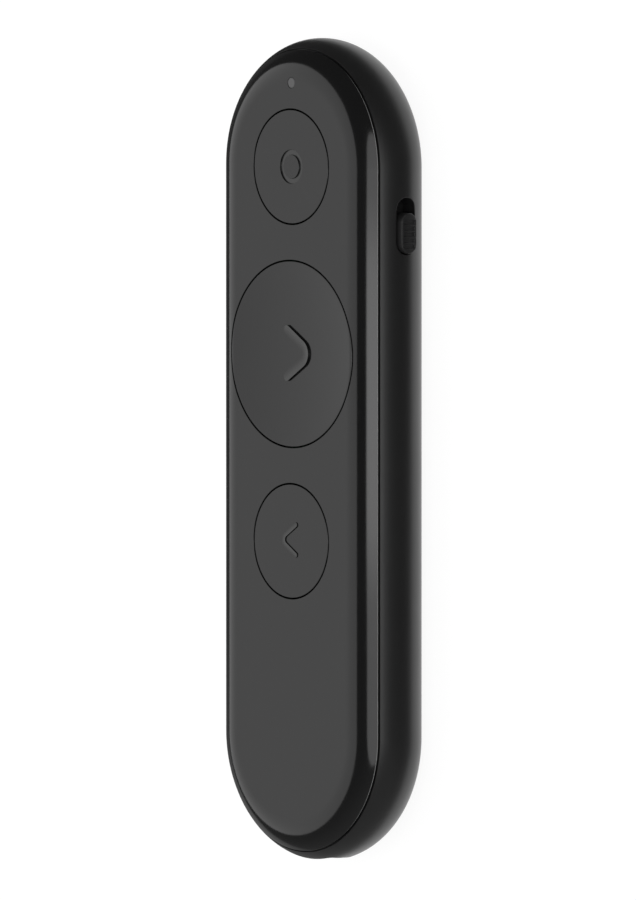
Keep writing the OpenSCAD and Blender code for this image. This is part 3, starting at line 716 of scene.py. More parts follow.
def underside(r, plate_z):
    """From the skirt's foot to the middle: skirt, plate and push pin, seen from below."""
    inner, soft = r - KEY_WALL, min(INNER_EDGE_R, (plate_z - key_bottom) / 3)
    return rounded([(r, key_bottom, 0), (inner, key_bottom, soft), (inner, plate_z, soft),
                    (PIN_R, plate_z, PIN_EDGE_R), (PIN_R, PIN_FOOT_Z, PIN_EDGE_R),
                    (0, PIN_FOOT_Z, 0)], 4)


def cap_side(r, top):
    """The rounded upper edge and the side of a flat cap, from its face to its foot."""
    return rounded([(r - 1, top, 0), (r, top, KEY_EDGE_R), (r, key_bottom, 0)], 7)


# %% [markdown]
# The mark of a lower key is a raised stroke with round ends. In the photograph its right edge
# stands high and casts a thin dark line, and from there it sinks softly to the left. So its
# section is a ramp with a rounded right shoulder, carried along the arms and round the apex.

# %% Strokes
MARK_EDGE_R, MARK_SLOPE, MARK_SINK = 0.03, 0.17, 0.02
TOP_STEPS, FAN_STEPS, ARM_STEPS, APEX_STEPS = 6, 13, 15, 25


def stroke(path, ways, lasts, half, height, foot):
    """The mark's cross-section carried along its middle path, and half turned round both ends. The
    foot follows the key's face, which foot(x, y) gives. Across the stroke, from its left edge
    (t = 0) to its right one (t = 1), the top rises by MARK_SLOPE * half * t squared."""
    rows = rounded([(0, 1, 0), (half, 1, MARK_EDGE_R), (half, 0, 0)], 4)[:-1]
    steps = np.linspace(0, rows[1, 0], TOP_STEPS + 1)[:-1]
    top_rows = np.stack([steps, steps * 0 + 1, steps * 0, steps * 0 + 1], -1)
    wall = np.array([[half, 0.0, 1, 0], [half, -1.0, 1, 0], [0, -1.0, 0, -1]])
    section = np.concatenate([top_rows, rows[1:], wall])

    def lay(points, way, rise):
        plan = points[:, None] + way[:, None] * section[None, :, :1]
        ground = foot(plan[..., 0], plan[..., 1])
        t = (1 + section[None, :, 0] / half * (way * rise).sum(-1)[:, None]) / 2
        lifted = height - MARK_SLOPE * half * (1 - t ** 2) + section[None, :, 1] - 1
        below = np.where(section[None, :, 1] < -0.5, ground - MARK_SINK, ground + 2 * MARK_SINK)
        z = np.where(section[None, :, 1] > 0.5, lifted, below)
        lean = MARK_SLOPE * t[..., None] * rise[:, None] * section[None, :, 3:4]
        facing = np.concatenate([way[:, None] * section[None, :, 2:3] - lean,
                                 np.broadcast_to(section[None, :, 3:4], plan.shape[:2] + (1,))], -1)
        return sheet(np.dstack([plan, z]), facing)

    right = ways * np.sign(ways[:, :1])
    sheets = [lay(path, ways, right), lay(path, -ways, right)]
    for k in (0, -1):
        a = np.linspace(-np.pi / 2, np.pi / 2, FAN_STEPS)[:, None]
        around = np.cos(a) * lasts[k] + np.sin(a) * ways[k]
        tip, rise = (np.tile(one[k], (FAN_STEPS, 1)) for one in (path, right))
        sheets.append(lay(tip, around, rise))
    return sheets


def chevron_path(centre, tip, outer_r, width, lean, arm, sign):
    """Middle line of a pointed mark: in along one arm, round the apex and out along the other. The
    apex lies tip to the side of the centre, with its outer edge rounded by outer_r, and each arm
    leans by lean degrees. sign is 1 where the apex points right and -1 where it points left."""
    r = outer_r - width / 2
    a = np.radians(np.linspace(-(90 - lean), 90 - lean, APEX_STEPS))
    bend = np.stack([np.cos(a), np.sin(a)], -1)
    middle_at = np.array([tip - outer_r, 0])
    run = np.linspace(1, 0, ARM_STEPS + 1)[:-1, None]
    high = np.array([-np.cos(np.radians(lean)), np.sin(np.radians(lean))])
    low = high * [1, -1]
    path = np.concatenate([middle_at + r * bend[0] + low * arm * run, middle_at + r * bend,
                           middle_at + r * bend[-1] + high * arm * run[::-1]])
    ways = np.concatenate([np.tile(bend[0], (ARM_STEPS, 1)), bend,
                           np.tile(bend[-1], (ARM_STEPS, 1))])
    flip = np.array([sign, 1])
    return centre + path * flip, ways * flip, (low * flip, high * flip)


# %% [markdown]
# The marks are painted a little paler than the keys: a painted sheen for the light that they
# catch, which on a stroke grows towards its high right edge. How much of it a point carries is
# kept in an attribute of the mesh, and the keys' finish reads it.

# %% Painted sheen on the marks
PAINTED_SHEEN_RAMP, PAINTED_SHEEN_MARGIN, PAINTED_SHEEN_FLOOR = 0.8, 0.002, 0.05


def store_painted_sheen(piece, share):
    """Keeps the painted sheen of a mark's points: share(x, y, z), in millimetres."""
    flat = np.empty(len(piece.data.vertices) * 3, np.float32)
    piece.data.vertices.foreach_get("co", flat)
    painted_sheen_amount = share(*(flat.reshape(-1, 3).T / MM))
    kept = piece.data.attributes.new("mark_painted_sheen", "FLOAT", "POINT")
    kept.data.foreach_set("value", painted_sheen_amount.astype(np.float32))
    print(f"{piece.name}: ink on {int((painted_sheen_amount > 0).sum())} points")


def stroke_painted_sheen(path, ways, half, foot):
    """The painted sheen on a stroke's top: none at its left edge, and more of it towards the right
    one.
    """
    right = ways * np.sign(ways[:, :1])

    def share(x, y, z):
        off = np.stack([x, y], -1)[:, None] - path
        near = np.linalg.norm(off, axis=-1)
        k = near.argmin(1)
        across = (off[np.arange(len(k)), k] * right[k]).sum(-1)
        on_top = (near.min(1) < half - MARK_EDGE_R + PAINTED_SHEEN_MARGIN) & (z > foot(x, y) + PAINTED_SHEEN_FLOOR)
        return on_top * np.clip(PAINTED_SHEEN_RAMP * (1 + across / half), 0, 1)
    return share


# %% [markdown]
# The upper key puts a spot on the screen. Its mark is a ring cut into its face, which is a dip in
# the turned profile. The ring's floor is painted paler, a painted sheen for the light it catches.

# %% Spot key
RING_R, RING_W, RING_DEPTH = 2.045, 0.71, 0.2
RING_EDGE_R, RING_FLOOR_R = 0.04, 0.03
top, ring_floor = top_z, top_z - RING_DEPTH
at, r = KEYS["spot"]
ring_in, ring_out = RING_R - RING_W / 2, RING_R + RING_W / 2
ring = rounded([(0, top, 0), (ring_in, top, RING_EDGE_R), (ring_in, ring_floor, RING_FLOOR_R),
                (ring_out, ring_floor, RING_FLOOR_R), (ring_out, top, RING_EDGE_R),
                (r, top, KEY_EDGE_R), (r, key_bottom, 0)], 6)
spot_side = np.concatenate([ring, underside(r, top - PLATE_T)])
spot_key = make_piece("spot_key_cap", [turned(spot_side, at)])


def ring_floor_painted_sheen(x, y, z):
    """The painted sheen: 1 on the ring's floor and 0 elsewhere."""
    middle_way = np.hypot(x - KEYS["spot"][0][0], y - KEYS["spot"][0][1]) - RING_R
    return 1.0 * (np.abs(z - top + RING_DEPTH) < 0.01) * (np.abs(middle_way) < RING_W / 2)


store_painted_sheen(spot_key, ring_floor_painted_sheen)

# %% [markdown]
# The lower key turns back by one slide, and its mark points left. The key is flat, and the mark's
# foot lies on the level face.

# %% Back key
BACK_MARK = dict(tip=1.91, outer_r=1.26, width=0.75, lean=32.4, arm=2.57)
BACK_MARK_UP, BACK_MARK_H = 0.21, 0.17
at, r = KEYS["back"]
back_side = np.concatenate([[[0, top, 0, 1]], cap_side(r, top), underside(r, top - PLATE_T)])


def level(x, y):
    """The flat keys' face."""
    return np.full_like(x, top_z)


path, ways, lasts = chevron_path(at + [0, BACK_MARK_UP], sign=-1, **BACK_MARK)
half = BACK_MARK["width"] / 2
back_key = make_piece("back_key_cap", [turned(back_side, at)] + stroke(
    path, ways, lasts, half, top + BACK_MARK_H, level))
store_painted_sheen(back_key, stroke_painted_sheen(path, ways, half, level))

# %% [markdown]
# The large key is dished, so that a thumb finds it: its face is part of a very large ball, sunk
# 0.75 mm below the rim in the middle. The ball's radius follows from the key's radius and the
# dish's depth. The key is wider than the body's flat middle, so at its two sides the body's round
# shape takes over. A soft minimum of the two heights joins them.

# %% Dish of the next key
DISH, DISH_SOFT = 0.75, 0.02
at, r = KEYS["next"]
dish_r = (r ** 2 + DISH ** 2) / (2 * DISH)


def dished(x, y):
    """Soft minimum of the ball's face and the body's round side: the lower one of the two, less
    DISH_SOFT times the logarithm of 1 plus e to the minus gap between them over DISH_SOFT."""
    ball = top - DISH + dish_r - np.sqrt(dish_r ** 2 - (x - at[0]) ** 2 - (y - at[1]) ** 2)
    body, soft = pill_height(x, y), DISH_SOFT
    least = np.minimum(ball, body)
    return least - soft * np.log(np.exp((least - ball) / soft) + np.exp((least - body) / soft))


def face_normals(height, x, y, e=0.005):
    """Normals of a height function, from its slope over the distance e to each side."""
    return unit(np.dstack([(height(x - e, y) - height(x + e, y)) / (2 * e),
                           (height(x, y - e) - height(x, y + e)) / (2 * e), np.ones_like(x)]))


print("the dish's ball has a radius of", round(dish_r, 1), "mm")

# %% [markdown]
# The face is a fan of rings round the key's middle, closer together near the rim where the two
# shapes meet. A quarter circle rounds its edge, and the skirt goes straight down. The mark points
# right, for the next slide, and its foot follows the dish.

# %% Next key
turn = np.linspace(0, 2 * np.pi, 160, endpoint=False)
out_to = np.concatenate([np.linspace(0, r - 2, 24), np.linspace(r - 2, r - KEY_EDGE_R, 16)[1:]])
x, y = (centre + out_to[:, None] * way for centre, way in zip(at, (np.cos(turn), np.sin(turn))))
face = sheet(np.dstack([x, y, dished(x, y)]), face_normals(dished, x, y), closed_v=True)
bend = quarter_turn(7)
rho = r - KEY_EDGE_R * (1 - np.sin(bend))
x, y = at[0] + rho * np.cos(turn), at[1] + rho * np.sin(turn)
z = dished(x, y) - KEY_EDGE_R * (1 - np.cos(bend))
radial = np.dstack([np.broadcast_to(np.cos(turn), x.shape), np.broadcast_to(np.sin(turn), x.shape),
                    np.zeros_like(x)])
rim = sheet(np.dstack([x, y, z]), np.cos(bend)[..., None] * face_normals(dished, x, y)
            + np.sin(bend)[..., None] * radial, closed_v=True)
foot = np.dstack([x[-1:], y[-1:], np.full_like(x[-1:], key_bottom)])
skirt = sheet(np.concatenate([np.dstack([x, y, z])[-1:], foot]), radial[:2], closed_v=True)
below = turned(underside(r, top - DISH - PLATE_T), at, 160)
NEXT_MARK = dict(tip=3.19, outer_r=2.1, width=1.4, lean=31.85, arm=3.9)
NEXT_MARK_UP, NEXT_MARK_H = 0.08, 0.36
path, ways, lasts = chevron_path(at + [0, NEXT_MARK_UP], sign=1, **NEXT_MARK)
half = NEXT_MARK["width"] / 2
next_key = make_piece("next_key_cap", [face, rim, skirt, below] + stroke(
    path, ways, lasts, half, top - DISH + NEXT_MARK_H, dished))
store_painted_sheen(next_key, stroke_painted_sheen(path, ways, half, dished))

# %% [markdown]
# ## Slide knob
# The knob is a small round-ended block whose face follows the body's round side, a little above
# it. Five broad troughs with thin ridges between them give the finger a grip. They are sunk into
# the face's own function: a trough's depth at a distance from its middle is a flat-bottomed curve,
# one less the fourth power, and the troughs end before the knob's long edges.

# %% Knob's face as a function
KNOB_SIZE, KNOB_EDGE_R = (5.7, 2.8), 0.2
TROUGH_PITCH, TROUGH_W, TROUGH_DEPTH, TROUGH_DOWN = 0.84, 0.64, 0.24, 0.17
TROUGH_MARGIN, TROUGH_FADE = 0.3, 0.15
knob_lo, knob_hi = node_box("slide_knob")
knob_at = np.array([(knob_lo[1] + knob_hi[1]) / 2, side_r])
face_r = knob_hi[0] - flat_w
knob_r = KNOB_SIZE[1] / 2


def knob_height(y, z):
    """Distance to the right of the knob's face: the larger round side, less the five troughs."""
    across = np.clip((knob_r - TROUGH_MARGIN - np.abs(z - side_r)) / TROUGH_FADE, 0, 1)
    along = y - knob_at[0] + TROUGH_DOWN
    nearest = np.clip(np.round(along / TROUGH_PITCH), -2, 2) * TROUGH_PITCH
    trough = np.clip(1 - (2 * (along - nearest) / TROUGH_W) ** 4, 0, 1) ** 0.7
    skin = flat_w + np.sqrt(face_r ** 2 - (z - side_r) ** 2)
    return skin - TROUGH_DEPTH * trough * across ** 0.5


def round_ended(centre, half, side_points, end_points):
    """Middle points and directions round a round-ended shape: along its lower side, round one end,
    back along its upper side and round the other end."""
    run = centre[0] + np.linspace(-half, half, side_points)
    middle_line = np.stack([run, np.full_like(run, centre[1])], -1)
    a = np.linspace(-np.pi / 2, np.pi / 2, end_points)[1:-1]
    tip = np.stack([np.cos(a), np.sin(a)], -1)
    base = np.concatenate([middle_line, np.tile(middle_line[-1], (len(a), 1)),
                           middle_line[::-1], np.tile(middle_line[0], (len(a), 1))])
    down = np.tile([0.0, -1.0], (side_points, 1))
    return base, np.concatenate([down, tip, -down, -tip])


print("the knob stands", round(knob_hi[0] - half_w, 2), "mm out of the side")

# %% [markdown]
# From the knob's middle line rays run outwards to its edge. There a quarter circle rounds the edge,
# and a straight wall goes in through the slot, to the flange behind.

# %% Knob's skin
FLANGE_X, FLANGE_T = 14.6, 0.7
knob_base, knob_way = round_ended(knob_at, (KNOB_SIZE[0] - KNOB_SIZE[1]) / 2, 61, 29)


def knob_skin(reach):
    """The knob's face at a reach from its middle line, and its directions."""
    plan = knob_base + reach * knob_way
    facing = face_normals(knob_height, plan[..., 0], plan[..., 1])[..., [2, 0, 1]]
    return plan, knob_height(plan[..., 0], plan[..., 1])[..., None], facing


plan, x, n = knob_skin(np.linspace(0, knob_r - KNOB_EDGE_R, 16)[:, None, None])
knob_face = sheet(np.concatenate([x, plan], -1), n, closed_v=True)
turn = quarter_turn(7)[..., None]
plan, x, up = knob_skin(knob_r - KNOB_EDGE_R * (1 - np.sin(turn)))
rounding = np.concatenate([x - KNOB_EDGE_R * (1 - np.cos(turn)), plan], -1)
sideways = np.concatenate([np.zeros_like(x), np.broadcast_to(knob_way, plan.shape)], -1)
knob_edge = sheet(rounding, np.cos(turn) * up + np.sin(turn) * sideways, closed_v=True)
foot = rounding[-1] * [0, 1, 1] + [FLANGE_X + FLANGE_T / 2, 0, 0]
knob_wall = sheet(np.stack([rounding[-1], foot]), sideways[:2], closed_v=True)
ends = np.stack([foot, np.concatenate([foot[:, :1], knob_base], -1)])
knob_end = sheet(ends, all_facing(ends, (-1, 0, 0)), closed_v=True)

# %% [markdown]
# Behind the wall sit two plain parts that aren't seen from outside: a flange that keeps the knob in
# the slot, and a fork that takes along the lever of the slide switch. A block with rounded edges is
# a ball whose eight parts are moved out to the block's corners.

# %% Flange and fork
FLANGE_SIZE = (10.6, 4.4)
FORK_YS, FORK_HALF_H, FORK_EDGE_R, FORK_LAP = (0.7, 1.6), 1.2, 0.08, 0.1


def block_sheets(lo, hi, r=0.1, steps=5):
    """A block with rounded edges: a ball of radius r whose points are moved to the corners. side
    says for each point which corner is its own."""
    u = np.radians(np.concatenate([np.linspace(0, 90, steps) + 90 * k for k in range(4)]))
    v = np.radians(np.concatenate([np.linspace(-90, 0, steps), np.linspace(0, 90, steps)]))[:, None]
    grid = np.ones((len(v), len(u)))
    way = np.dstack([np.cos(u) * np.cos(v), np.sin(u) * np.cos(v), np.sin(v) * grid])
    quarter = np.repeat(np.arange(4), steps)
    upper = np.arange(len(v))[:, None] >= steps
    side = np.dstack([np.where(np.isin(quarter, (0, 3)), 1, -1) * grid,
                      np.where(quarter < 2, 1, -1) * grid, np.where(upper, 1, -1) * grid])
    centre, half = (np.array(lo) + hi) / 2, (np.array(hi) - lo) / 2
    points = centre + side * (half - r) + r * way
    caps = []
    for row, face in ((0, -1.0), (-1, 1.0)):
        ring = points[row]
        cap = np.stack([ring, np.broadcast_to(ring.mean(0), ring.shape)])
        caps.append(sheet(cap, all_facing(cap, (0, 0, face)), closed_v=True))
    return [sheet(points, way, closed_v=True)] + caps


flange = block_sheets(
    (FLANGE_X, knob_at[0] - FLANGE_SIZE[0] / 2, side_r - FLANGE_SIZE[1] / 2),
    (FLANGE_X + FLANGE_T, knob_at[0] + FLANGE_SIZE[0] / 2, side_r + FLANGE_SIZE[1] / 2))
fork = []
for sy in (-1, 1):
    edge = sorted(knob_at[0] + sy * y for y in FORK_YS)
    fork += block_sheets((knob_lo[0], edge[0], side_r - FORK_HALF_H),
                         (FLANGE_X + FORK_LAP, edge[1], side_r + FORK_HALF_H), FORK_EDGE_R)
knob = make_piece("grooved_slide_knob",
                  [knob_face, knob_edge, knob_wall, knob_end] + flange + fork)

# %% [markdown]
# ## Light pipe, charging port and snap domes
# The light pipe is a clear rod that leads an indicator LED's light up to the face. A shoulder keeps
# it under the cover. It is turned like the keys.

# %% Light pipe
PIPE_SINK, SHOULDER_DOWN = 0.02, 1.7
PIPE_EDGE_R, PIPE_SMALL_R, SHOULDER_EDGE_R = 0.06, 0.05, 0.1
pipe_top, shoulder_z, pipe_z = top - PIPE_SINK, top - SHOULDER_DOWN, light_lo[2]
pipe_side = rounded([
    (0, pipe_top, 0), (LIGHT_R, pipe_top, PIPE_EDGE_R), (LIGHT_R, shoulder_z, PIPE_SMALL_R),
    (light_hi[0], shoulder_z, SHOULDER_EDGE_R), (light_hi[0], pipe_z, PIPE_SMALL_R),
    (0, pipe_z, 0)])
pipe = make_piece("light_pipe_rod", [turned(pipe_side, light_at, 48)])

# %% [markdown]
# The port's shell is a folded steel sleeve: one profile, from the back, along the outside, over the
# lip and back along the inside. It is carried round a round-ended outline that stands upright, so
# the profile's second number lies along Y instead of Z.

# %% Charging port
SHEET_T, LIP_EDGE_R, BACK_EDGE_R = 0.3, 0.12, 0.25
shell_lo, shell_hi = node_box("port_shell")
shell_r = (shell_hi[2] - shell_lo[2]) / 2
front_y, back_y = shell_lo[1], shell_hi[1]
port_base, port_way = round_ended((0, side_r), (shell_hi[0] - shell_lo[0]) / 2 - shell_r, 13, 25)


def carry_upright(base, out, profile):
    """As carry does, round an outline in X and Z, with the profile's second number along Y."""
    points, facing, faces = carry(base, out, profile)
    return points[:, [0, 2, 1]], facing[:, [0, 2, 1]], faces


inside_r, inside_y = shell_r - SHEET_T, back_y - SHEET_T
port_profile = rounded([
    (0, back_y, 0), (shell_r, back_y, BACK_EDGE_R), (shell_r, front_y, LIP_EDGE_R),
    (inside_r, front_y, LIP_EDGE_R), (inside_r, inside_y, 0), (0, inside_y, 0)])
port_sleeve = make_piece("port_steel_sleeve", [carry_upright(port_base, port_way, port_profile)])

# %% [markdown]
# A snap dome is a thin cap of spring steel under each key. It is part of a ball, whose radius
# follows from the dome's radius and its rise, and it flattens as the key goes down.

# %% Snap domes
DOME_T = 0.1
domes = {}
for name in KEYS:
    lo, hi = node_box(name + "_dome")
    dome_r, rise = (hi[0] - lo[0]) / 2, hi[2] - lo[2]
    ball = (dome_r ** 2 + rise ** 2) / (2 * rise)
    edge = np.degrees(np.arcsin(dome_r / ball))
    ball_at = (0, hi[2] - ball)
    inner_edge = np.degrees(np.arccos((ball - rise) / (ball - DOME_T)))
    profile = np.concatenate([arc(ball_at, ball, 0, edge, 14),
                              arc(ball_at, ball - DOME_T, inner_edge, 0, 14, inside=True)])
    domes[name] = make_piece(name + "_snap_dome", [turned(profile, KEYS[name][0], 64)])
    print(name, "dome rises", round(rise, 3), "mm")

# %% [markdown]
# ## Which body each piece rides on
# A piece moves with the body that it rides on, and it stands for the solid that it replaces, which
# stays in the model for collisions only. The solids that aren't named here show as they are. A dome
# stays in the casing, and gets a mesh of its own.

# %% Riding and replacing
PIECES = [(cover, "casing", "front_cover", "cover_plastic"),
          (housing, "casing", "rear_housing", "housing_plastic"),
          (spot_key, "spot_key", "spot_button", "key_plastic"),
          (next_key, "next_key", "next_button", "key_plastic"),
          (back_key, "back_key", "back_button", "key_plastic"),
          (knob, "power_slider", "slide_knob", "knob_plastic"),
          (pipe, "casing", "light_pipe", "light_pipe_plastic"),
          (port_sleeve, "casing", "port_shell", "plated_steel")]
PIECES += [(dome, "casing", name + "_dome", "spring_steel") for name, dome in domes.items()]
for piece, body, solid, slot in PIECES:
    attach(piece, body)
    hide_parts(solid)
for name, dome in domes.items():
    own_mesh(dome)
print("pieces:", len(PIECES))

# %% [markdown]
# ## Finishes
# A finish is a Principled BSDF whose colour, roughness and bump change over the surface. What many
# plastics have in common is made once, as node groups: the grain that the mould leaves, the haze
# that hands leave, and the rub on edges. A group only puts out heights and masks. Each material
# places the groups with its own values and keeps its shader to itself. All patterns read Object
# coordinates, so they stay on the piece when it moves.

# %% Node helpers
def add(tree, kind, inputs=None, **settings):
    """A shader node. inputs gives each socket, by name or number, a value or another socket."""
    made = tree.nodes.new("ShaderNode" + kind)
    for key, value in settings.items():
        setattr(made, key, value)
    for key, value in (inputs or {}).items():
        if isinstance(value, bpy.types.NodeSocket):
            tree.links.new(value, made.inputs[key])
        else:
            made.inputs[key].default_value = value
    return made


def math(tree, operation, a, b=0.0, clamp=False):
    """One sum of two numbers or sockets."""
    return add(tree, "Math", {0: a, 1: b}, operation=operation, use_clamp=clamp).outputs[0]


def effect(name, inputs, outputs):
    """An empty node group. inputs maps a label to a starting number, or to None for a vector."""
    tree = bpy.data.node_groups.new(name, "ShaderNodeTree")
    for label, value in inputs.items():
        kind = "NodeSocketVector" if value is None else "NodeSocketFloat"
        socket = tree.interface.new_socket(label, in_out="INPUT", socket_type=kind)
        if value is not None:
            socket.default_value = value
    for label in outputs:
        tree.interface.new_socket(label, in_out="OUTPUT", socket_type="NodeSocketFloat")
    return tree, tree.nodes.new("NodeGroupInput").outputs, tree.nodes.new("NodeGroupOutput").inputs


def plus(tree, base, gain, value):
    """Base plus gain times value, each of them a number or a socket."""
    return math(tree, "ADD", base, math(tree, "MULTIPLY", gain, value))


def per_metre(tree, size_mm):
    """A texture's scale from the size of its pattern in millimetres."""
    return math(tree, "DIVIDE", 1000.0, size_mm)


# %% [markdown]
# A mould's steel is spark-eroded or polished, and leaves a fine random grain. The plastic also sets
# with slow, cloudy changes in its gloss. Both are noise: one octave stack at the grain's size, and
# one at a few millimetres.

# %% Moulded grain
tree, given, put = effect("moulded_grain", {"Vector": None, "Grain": 0.2, "Cloud": 8.0},
                          ["Height", "Clouds"])
pits = add(tree, "TexNoise", {"Vector": given["Vector"], "Scale": per_metre(tree, given["Grain"]),
                              "Detail": 3.0, "Roughness": 0.55})
slow = add(tree, "TexNoise", {"Vector": given["Vector"], "Scale": per_metre(tree, given["Cloud"]),
                              "Detail": 2.0, "Roughness": 0.5})
tree.links.new(pits.outputs[0], put["Height"])
tree.links.new(slow.outputs[0], put["Clouds"])
moulded_grain = tree

# %% [markdown]
# Where fingers go, a thin film makes a gloss a little duller, in soft blotches with streaks across
# them. The blotches are a warped noise with its middle cut out, and the streaks a stretched one.

# %% Hand haze
tree, given, put = effect("hand_haze", {"Vector": None, "Size": 12.0}, ["Mask"])
warp = add(tree, "TexNoise", {"Vector": given["Vector"], "Scale": per_metre(tree, given["Size"]),
                              "Detail": 2.0, "Distortion": 1.2})
blotch = add(tree, "MapRange", {0: warp.outputs[0], 1: 0.48, 2: 0.68},
             interpolation_type="SMOOTHSTEP")
squeezed = add(tree, "Mapping", {0: given["Vector"], 2: (0.0, 0.0, 0.6), 3: (2.6, 0.35, 1.0)})
streak = add(tree, "TexNoise", {"Vector": squeezed.outputs[0], "Scale": 900.0, "Detail": 2.0})
tree.links.new(math(tree, "MULTIPLY", blotch.outputs[0],
                    math(tree, "ADD", 0.45, streak.outputs[0])), put["Mask"])
hand_haze = tree

# %% [markdown]
# An edge that is touched a lot gets rubbed smooth and slightly pale. Geometry's Pointiness is above
# a half on such edges. A noise breaks the line up, so that the rub isn't the same all along it.

# %% Edge rub
tree, given, put = effect("edge_rub", {"Vector": None, "Amount": 1.0}, ["Mask"])
pointed = add(tree, "NewGeometry").outputs["Pointiness"]
convex = add(tree, "MapRange", {0: pointed, 1: 0.52, 2: 0.62})
broken = add(tree, "TexNoise", {"Vector": given["Vector"], "Scale": 700.0, "Detail": 3.0})
patchy = add(tree, "MapRange", {0: broken.outputs[0], 1: 0.35, 2: 0.7})
tree.links.new(math(tree, "MULTIPLY", given["Amount"],
                    math(tree, "MULTIPLY", convex.outputs[0], patchy.outputs[0])), put["Mask"])
edge_rub = tree
print("groups:", [g.name for g in bpy.data.node_groups])

# %% [markdown]
# Every material starts from a Principled BSDF and the Object coordinates. Its colour, its roughness
# and its bump are then linked. Colours are mixed with a mask, and a lighter or darker colour is the
# same one times a factor.

# %% Material helpers
def place(tree, group, **inputs):
    """A node group placed in a material."""
    return add(tree, "Group", inputs, node_tree=group).outputs


def mixed(tree, share, a, b):
    """A colour between two colours, given as sockets or as plain red, green and blue."""
    blend = add(tree, "Mix", {0: share}, data_type="RGBA")
    for number, colour in ((6, a), (7, b)):
        if isinstance(colour, bpy.types.NodeSocket):
            tree.links.new(colour, blend.inputs[number])
        else:
            blend.inputs[number].default_value = (*colour, 1)
    return blend.outputs[2]


def shade(colour, factor):
    """A colour made lighter or darker, with no part above 1."""
    return tuple(min(1.0, c * factor) for c in colour)


def start(name, **constants):
    """A new material, its tree, its Principled BSDF with the given constants, and Object
    coordinates."""
    material = bpy.data.materials.new(name)
    material.use_nodes = True
    tree = material.node_tree
    shader = tree.nodes["Principled BSDF"]
    for key, value in constants.items():
        shader.inputs[key.replace("_", " ")].default_value = value
    return material, tree, shader, add(tree, "TexCoord").outputs["Object"]


def cover_with(tree, shader, colour, gloss, height, depth_mm):
    """Links a colour and a roughness, and raises the surface by the height times a depth."""
    tree.links.new(colour, shader.inputs["Base Color"])
    tree.links.new(gloss, shader.inputs["Roughness"])
    made = add(tree, "Bump", {"Height": height, "Strength": 1.0, "Distance": depth_mm * MM})
    tree.links.new(made.outputs[0], shader.inputs["Normal"])


# %% [markdown]
# Along both long sides a thin grey line is painted on the rounding of the glossy cover's sharp
# lower lip, and it fades out round the ends. It is a painted highlight, the lip's edge catching
# the light, laid into the colour. The line is a mask: it is low on the lip's rounding, above the
# seam, and it grows with the distance from the middle.

# %% The painted lip highlight
LIP_TOP = SEAM_Z + 1.75 * LIP_R
LIP_FADE, LIP_FOOT, LIP_ASIDE = 0.03, 0.01, (9, 16.4)


def painted_lip_highlight(tree, at):
    """Where a highlight is painted: 1 on the rounding of the cover's lower lip along the two long
    sides, and 0 elsewhere.
    """
    where = add(tree, "SeparateXYZ", {0: at}).outputs
    low = add(tree, "MapRange", {0: where["Z"], 1: LIP_TOP * MM, 2: (LIP_TOP - LIP_FADE) * MM})
    from_middle = math(tree, "ABSOLUTE", where["X"])
    aside = add(tree, "MapRange", {0: from_middle, 1: LIP_ASIDE[0] * MM, 2: LIP_ASIDE[1] * MM})
    outside = math(tree, "GREATER_THAN", where["Z"], (SEAM_Z + LIP_FOOT) * MM)
    return math(tree, "MULTIPLY", outside,
                math(tree, "MULTIPLY", low.outputs[0], aside.outputs[0]))


# %% [markdown]
# A plain finish serves every moulded part and most of the inside. It lays the clouds in colour and
# roughness, and the grain in the bump. The haze, the rub, the painted highlight on the lip and the
# painted sheen on the marks come on top where a part asks for them.

# %% A plain finish
HAZE_SIZE, RUB_FACTOR = 12.0, 2.2


def finish(name, colour, roughness, grain=0.2, depth=0.002, cloud=8.0, tone=0.08, spread=0.02,
           haze=0.0, rub=0.0, lip=0.0, painted_sheen_amount=0.0, **constants):
    """Moulded grain, clouds, haze and rubbed edges on one colour, with painted light where asked.
    tone is the clouds' share in the colour, spread theirs in the roughness, haze how much duller a
    touched place is, rub how much paler an edge gets, lip the grey of the painted
    highlight on the lip, and painted_sheen_amount the grey of the painted sheen on a mark."""
    material, tree, shader, at = start(name, **constants)
    skin = place(tree, moulded_grain, Vector=at, Grain=grain, Cloud=cloud)
    paint = mixed(tree, skin["Clouds"], shade(colour, 1 - tone), shade(colour, 1 + tone))
    gloss = plus(tree, roughness - spread, 2 * spread, skin["Clouds"])
    if haze:
        touched = place(tree, hand_haze, Vector=at, Size=HAZE_SIZE)["Mask"]
        gloss = plus(tree, gloss, haze, touched)
    if rub:
        worn = place(tree, edge_rub, Vector=at, Amount=rub)["Mask"]
        paint = mixed(tree, worn, paint, shade(colour, RUB_FACTOR))
    # Painted highlight: the lip's rounding is painted a paler grey where it would catch the light.
    if lip:
        paint = mixed(tree, painted_lip_highlight(tree, at), paint, (lip, lip, lip))
    # Painted sheen: the marks are painted paler where their tops would catch the light.
    if painted_sheen_amount:
        painted_sheen_fac = add(tree, "Attribute", attribute_name="mark_painted_sheen").outputs["Fac"]
        paint = mixed(tree, painted_sheen_fac, paint, (painted_sheen_amount, painted_sheen_amount, painted_sheen_amount))
    cover_with(tree, shader, paint, gloss, skin["Height"], depth)
    return material


# %% [markdown]
# ## Plastics outside
# All that shows is a nearly black plastic, and the light does the rest, save a painted highlight
# on the cover's lip and a painted sheen on the keys' marks. The cover and the keys have a polished
# mould, the housing a fine satin one, and the knob a matt one. The light pipe is a smoky grey rod
# that looks a little paler than the cover round it.

# %% Casing, keys, knob and light pipe
BLACK = (0.0062, 0.0062, 0.0063)
# The cover paints a highlight of grey 0.26 on its lower lip.
cover_finish = finish("polished_black_cover", BLACK, 0.12, grain=0.35, depth=0.00012, cloud=14.0,
                      spread=0.006, haze=0.015, rub=0.3, lip=0.26)
